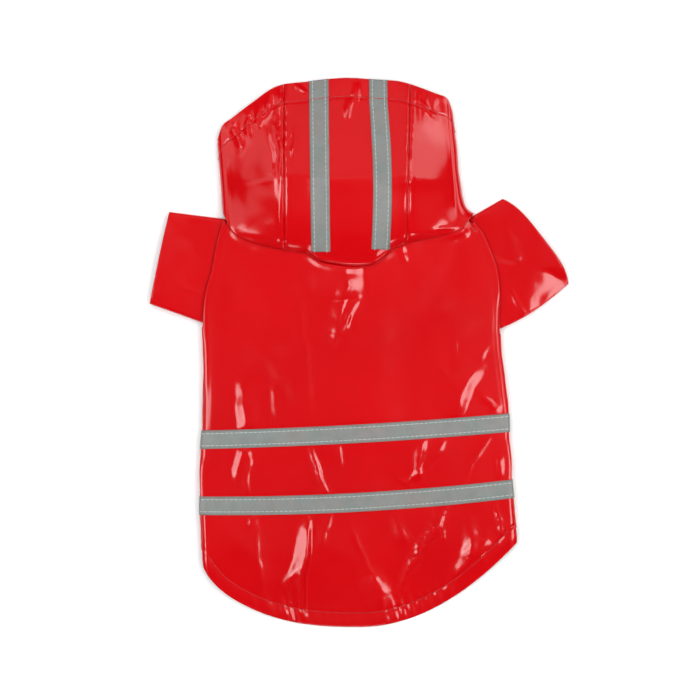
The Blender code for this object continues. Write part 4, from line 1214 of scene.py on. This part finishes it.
def sew(name, lines, tape, material, pitch):
    """Stitches along lines of points in millimetres, as one plain mesh."""
    curve = bpy.data.curves.new(name, "CURVE")
    curve.dimensions = "3D"
    for line in lines:
        spline = curve.splines.new("POLY")
        spline.points.add(len(line) - 1)
        for point, place in zip(spline.points, line):
            point.co = (*(place * MM), 1.0)
    item = add_object(name, curve)
    modifier = item.modifiers.new("stitches", "NODES")
    modifier.node_group = stitch_tree()
    values = {
        "Pitch": pitch,
        "Length": tape.stitch,
        "Radius": tape.thread,
        "Seed": tape.seed,
        "Material": material,
    }
    for socket in modifier.node_group.interface.items_tree:
        if socket.item_type == "SOCKET" and socket.in_out == "INPUT" and socket.name in values:
            modifier[socket.identifier] = values[socket.name]
    result = plain_mesh(item)
    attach(result, "root")


def cut_strip(points, first, last, y_end):
    """The part of the hood's centre between two columns, down to y_end."""
    numbers = np.arange(len(points))
    strip = []
    for line in points[:, first:last].transpose(1, 2, 0):
        end = np.interp(-y_end, -line[1], numbers)
        rows = np.linspace(0.0, end, 121)
        strip.append(np.stack([np.interp(rows, numbers, axis) for axis in line], axis=-1))
    return np.stack(strip, axis=1)


def row_at(rising, wanted):
    """Fractional row of each column at which its rising values reach the wanted one."""
    rows = np.arange(len(rising))
    return np.array([np.interp(want, rising[:, k], rows) for k, want in enumerate(wanted)])


def surface_line(points, row, lift):
    """A line over a grid at a fractional row of each column, lifted from its face."""
    normals = cross_normals(points)
    low = np.clip(np.floor(row).astype(int), 0, points.shape[0] - 2)
    part = (row - low)[:, None]
    columns = np.arange(points.shape[1])
    place, face = (lerp(grid[low, columns], grid[low + 1, columns], part)
                   for grid in (points, normals))
    return place + face * lift


# ---------- operators

class Garment:
    """Sheets that more than one operator needs, made once."""

    back = None
    panels = {}  # points and crinkle of the hood's left (-1), centre (0) and right (1) panel


def back_sheet(cloth):
    if Garment.back is None:
        Garment.back = BackSheet(cloth)
    return Garment.back


def hood_sheet(cloth):
    """Fill in the hood's panels and give the points of the centre one."""
    if not Garment.panels:
        hood = HoodSheet(cloth)
        Garment.panels[0] = hood.top_points(*hood.centre_lines())
        for side in (-1, 1):
            Garment.panels[side] = hood.side_points(side)
    return Garment.panels[0][0]


def strip_patches(cloth):
    """The parts of the hood's centre that the left and the right strip cover."""
    return [cut_strip(hood_sheet(cloth), *columns, y_end)
            for columns, y_end in zip(STRIP_COLUMNS, STRIP_ENDS)]


class RAINCOAT_OT_back(bpy.types.Operator):
    """Make the back panel with its side folds, creases and tail hem"""

    bl_idname = "raincoat.back"
    bl_label = "Back"

    def execute(self, context):
        cloth = context.scene.raincoat.cloth
        sheet = back_sheet(cloth)
        middle_x = 0.5 * (TAIL_LEFT + TAIL_RIGHT)
        half = 0.5 * (TAIL_RIGHT - TAIL_LEFT)

        def turned_up(places):
            down = places[:, 1] - hem_y((places[:, 0] - middle_x) / half)
            return 1.0 - (down - cloth.tail_hem / MM) / HEM_STEP

        make_sheet("back", "back_panel", sheet.points, cloth.hem_wall, cloth_materials(cloth),
                   (0.224, 0.262), 0.0535, hem=(turned_up, cloth.wall / cloth.hem_wall),
                   keep=sheet.keep(), crinkle=sheet.crinkle)
        return {"FINISHED"}


class RAINCOAT_OT_belly(bpy.types.Operator):
    """Make the two belly pieces and give the closing tape between their laps its pile"""

    bl_idname = "raincoat.belly"
    bl_label = "Belly"

    def execute(self, context):
        cloth = context.scene.raincoat.cloth
        for name, node, side in (("belly_left", "front_left", -1), ("belly_right", "front_right", 1)):
            points, keep = belly_points(side, cloth)
            make_sheet(name, node, points, cloth.hem_wall * 0.9, cloth_materials(cloth),
                       (0.120, 0.213), 0.0205, keep=keep)
        for name in ("closure_hook", "closure_loop"):
            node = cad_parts[name]
            node.data.materials.clear()
            node.data.materials.append(shared("hook_and_loop", closure_material, cloth))
        return {"FINISHED"}


class RAINCOAT_OT_sleeves(bpy.types.Operator):
    """Make the two short sleeves"""

    bl_idname = "raincoat.sleeves"
    bl_label = "Sleeves"

    def execute(self, context):
        cloth = context.scene.raincoat.cloth
        for name, side, creases, flat, area in (
            ("sleeve_left", -1, LEFT_SLEEVE_CREASES, (0.134, 0.042), 0.0053),
            ("sleeve_right", 1, RIGHT_SLEEVE_CREASES, (0.152, 0.052), 0.0066),
        ):
            points = sleeve_points(side, creases, cloth)[:, ::-side]
            make_sheet(name + "_cloth", name, points, cloth.hem_wall * 0.85, cloth_materials(cloth),
                       flat, area, closed=True)
        return {"FINISHED"}


class RAINCOAT_OT_hood(bpy.types.Operator):
    """Make the hood's centre and side panels with seams and brim hem"""

    bl_idname = "raincoat.hood"
    bl_label = "Hood"

    def execute(self, context):
        cloth = context.scene.raincoat.cloth
        hood_sheet(cloth)
        for name, node, key, flat, area in (
            ("hood_middle", "hood_centre", 0, (0.085, 0.128), 0.0099),
            ("hood_left", "hood_side_left", -1, (0.135, 0.100), 0.0072),
            ("hood_right", "hood_side_right", 1, (0.135, 0.100), 0.0072),
        ):
            points, crinkle = Garment.panels[key]
            make_sheet(name, node, points, cloth.wall * 1.3, cloth_materials(cloth), flat, area,
                       crinkle=crinkle)
        return {"FINISHED"}


class RAINCOAT_OT_tapes(bpy.types.Operator):
    """Make the reflective bands round the body and the strips on the hood"""

    bl_idname = "raincoat.tapes"
    bl_label = "Tapes"

    def execute(self, context):
        settings = context.scene.raincoat
        cloth, tape = settings.cloth, settings.tape
        sheet = back_sheet(cloth)
        for name, node, span in (("tape_upper", "band_upper", UPPER_BAND),
                                 ("tape_lower", "band_lower", LOWER_BAND)):
            patch = sheet.points[sheet.rows_between(*span)]
            make_tape(name, node, patch, tape, (0.0125, 0.222), 0.00275, "back")
        names = (("tape_left", "strip_left"), ("tape_right", "strip_right"))
        for (name, node), patch in zip(names, strip_patches(cloth)):
            make_tape(name, node, patch, tape, (0.0125, 0.122), 0.00148, "hood_middle")
        return {"FINISHED"}


class RAINCOAT_OT_stitches(bpy.types.Operator):
    """Sew the tapes, the tail hem and the brim"""

    bl_idname = "raincoat.stitches"
    bl_label = "Stitches"

    def execute(self, context):
        settings = context.scene.raincoat
        cloth, tape = settings.cloth, settings.tape
        sheet = back_sheet(cloth)
        pale = shared("pale_thread", thread_material, "pale_thread", tape.pale)
        red = shared("red_thread", thread_material, "red_thread", tape.red_thread)
        lift = TAPE_GAP + tape.wall / MM + THREAD_LIFT
        part = tape.inset / TAPE_WIDTH
        lines = []
        for span in (UPPER_BAND, LOWER_BAND):
            patch = sheet.points[sheet.rows_between(*span)][:, 3:-3]
            rows, columns = patch.shape[:2]
            for place in (part, 1.0 - part):
                lines.append(surface_line(patch, np.full(columns, place * (rows - 1)), lift))
        sew("band_stitches", lines, tape, pale, tape.pitch)
        lines = []
        for patch in strip_patches(cloth):
            patch = patch.transpose(1, 0, 2)
            columns, rows = patch.shape[:2]
            for place in (part, 1.0 - part):
                line = surface_line(patch, np.full(rows, place * (columns - 1)), -lift)
                lines.append(line[1:-1])
        sew("strip_stitches", lines, tape, pale, tape.pitch)
        lines = [self.hem_line(sheet, cloth)]
        sew("hem_stitches", lines, tape, red, tape.pitch * HEM_PITCH)
        sew("brim_stitches", self.brim_lines(cloth), tape, red, tape.pitch * HEM_PITCH)
        return {"FINISHED"}

    def hem_line(self, sheet, cloth):
        """The tail hem's stitch line, just above the groove."""
        tail = sheet.points[-60:, sheet.folds:-sheet.folds]
        above = tail[:, :, 1] - tail[-1:, :, 1]
        slope = np.gradient(tail[-1, :, 1], tail[-1, :, 0])
        wanted = cloth.tail_hem / MM * np.sqrt(1.0 + slope ** 2)
        return surface_line(tail, row_at(-above, -wanted), HEM_THREAD_LIFT)[2:-2]

    def brim_lines(self, cloth):
        """The brim's stitch line over each panel, higher where it crosses a strip."""
        lines = []
        for key in (-1, 0, 1):
            points = Garment.panels[key][0]
            down = way_along(points, 0)
            wanted = np.minimum(cloth.brim_hem / MM, 0.7 * down[-1])
            line = surface_line(points, row_at(down, wanted), HEM_THREAD_LIFT)
            if key == 0:
                for first, end in STRIP_COLUMNS:
                    line[first:end, 2] += OVER_STRIP
            lines.append(line)
        return lines


class RAINCOAT_OT_stage(bpy.types.Operator):
    """Make the floor, the soft lights and the camera straight above"""

    bl_idname = "raincoat.stage"
    bl_label = "Stage"

    def execute(self, context):
        stage = context.scene.raincoat.stage
        self.make_floor(stage)
        if stage.lights_on:
            self.make_lights()
        self.make_camera(context, stage)
        context.scene.view_settings.view_transform = "Standard"
        return {"FINISHED"}

    def make_floor(self, stage):
        shape = bmesh.new()
        bmesh.ops.create_grid(shape, x_segments=2, y_segments=2, size=3.0)
        mesh = bpy.data.meshes.new("floor")
        shape.to_mesh(mesh)
        shape.free()
        for vertex in mesh.vertices:
            vertex.co.z = FLOOR_Z
        floor = add_object("floor", mesh)
        material, shader, wire = new_material("floor_white")
        grain = wire.out("ShaderNodeTexCoord", "Object").noise(6.0, 2.0)
        colour = grain.blend(rgba(stage.floor, 0.99), rgba(stage.floor))
        wire.tree.links.new(colour.socket, shader.inputs["Base Color"])
        shader.inputs["Roughness"].default_value = 0.9
        shader.inputs["Specular IOR Level"].default_value = 0.0
        mesh.materials.append(material)

    def make_lights(self):
        """One broad light overhead, and soft boxes far off that the glossy cloth reflects."""
        place, size, brightness = OVERHEAD
        light = bpy.data.lights.new("overhead", "AREA")
        light.shape = "RECTANGLE"
        light.size = size
        light.size_y = size
        light.energy = brightness * math.pi * size ** 2
        item = add_object("overhead", light)
        item.location = place
        item.rotation_euler = Vector(place).to_track_quat("Z", "Y").to_euler()
        item.visible_camera = False
        item.visible_glossy = False
        world = bpy.data.worlds.new("studio")
        world.use_nodes = True
        tree = world.node_tree
        wire = Wire(tree, None)
        way = wire.out("ShaderNodeTexCoord", "Generated")
        total = None
        for azimuth, tilt, inner, outer, brightness in SOFT_BOXES:
            around, lean = math.radians(azimuth), math.radians(tilt)
            level = math.sin(lean)
            centre = (math.cos(around) * level, math.sin(around) * level, math.cos(lean))
            facing = wire.out("ShaderNodeVectorMath", "Value", {"operation": "DOT_PRODUCT"},
                              _0=way, _1=centre)
            edge, full = math.cos(math.radians(outer)), math.cos(math.radians(inner))
            box = ((facing - edge) * (1.0 / (full - edge))).clipped()
            box = box * box * (3.0 - 2.0 * box) * brightness
            total = box if total is None else total + box
        background = tree.nodes["Background"]
        background.inputs["Color"].default_value = (1.0, 1.0, 1.0, 1.0)
        tree.links.new((total + ROOM).socket, background.inputs["Strength"])
        bpy.context.scene.world = world

    def make_camera(self, context, stage):
        """Straight above, as far as the lens needs to take in the view's width."""
        data = bpy.data.cameras.new("camera")
        data.lens = stage.lens
        data.sensor_width = 36.0
        camera = add_object("camera", data)
        height = stage.view_width * stage.lens / data.sensor_width + OUTLINE_HEIGHT * MM
        camera.location = (VIEW_CENTRE[0] * MM, VIEW_CENTRE[1] * MM, height)
        context.scene.camera = camera


class RAINCOAT_PT_panel(bpy.types.Panel):
    """Settings and steps of the raincoat"""

    bl_idname = "RAINCOAT_PT_panel"
    bl_label = "Raincoat"
    bl_space_type = "VIEW_3D"
    bl_region_type = "UI"
    bl_category = "Raincoat"

    def draw(self, context):
        settings = context.scene.raincoat
        layout = self.layout
        for group in (settings.cloth, settings.tape, settings.stage):
            box = layout.box()
            for name in group.__annotations__:
                box.prop(group, name)
        for step in STEPS:
            layout.operator(step.bl_idname)


STEPS = (
    RAINCOAT_OT_back,
    RAINCOAT_OT_belly,
    RAINCOAT_OT_sleeves,
    RAINCOAT_OT_hood,
    RAINCOAT_OT_tapes,
    RAINCOAT_OT_stitches,
    RAINCOAT_OT_stage,
)
CLASSES = (
    RaincoatCloth,
    RaincoatTape,
    RaincoatStage,
    RaincoatSettings,
    *STEPS,
    RAINCOAT_PT_panel,
)


def register():
    for item in CLASSES:
        bpy.utils.register_class(item)
    bpy.types.Scene.raincoat = PointerProperty(type=RaincoatSettings)


def unregister():
    del bpy.types.Scene.raincoat
    for item in reversed(CLASSES):
        bpy.utils.unregister_class(item)


def main():
    register()
    bpy.ops.raincoat.back()
    bpy.ops.raincoat.belly()
    bpy.ops.raincoat.sleeves()
    bpy.ops.raincoat.hood()
    bpy.ops.raincoat.tapes()
    bpy.ops.raincoat.stitches()
    bpy.ops.raincoat.stage()


if __name__ == "__main__":
    main()
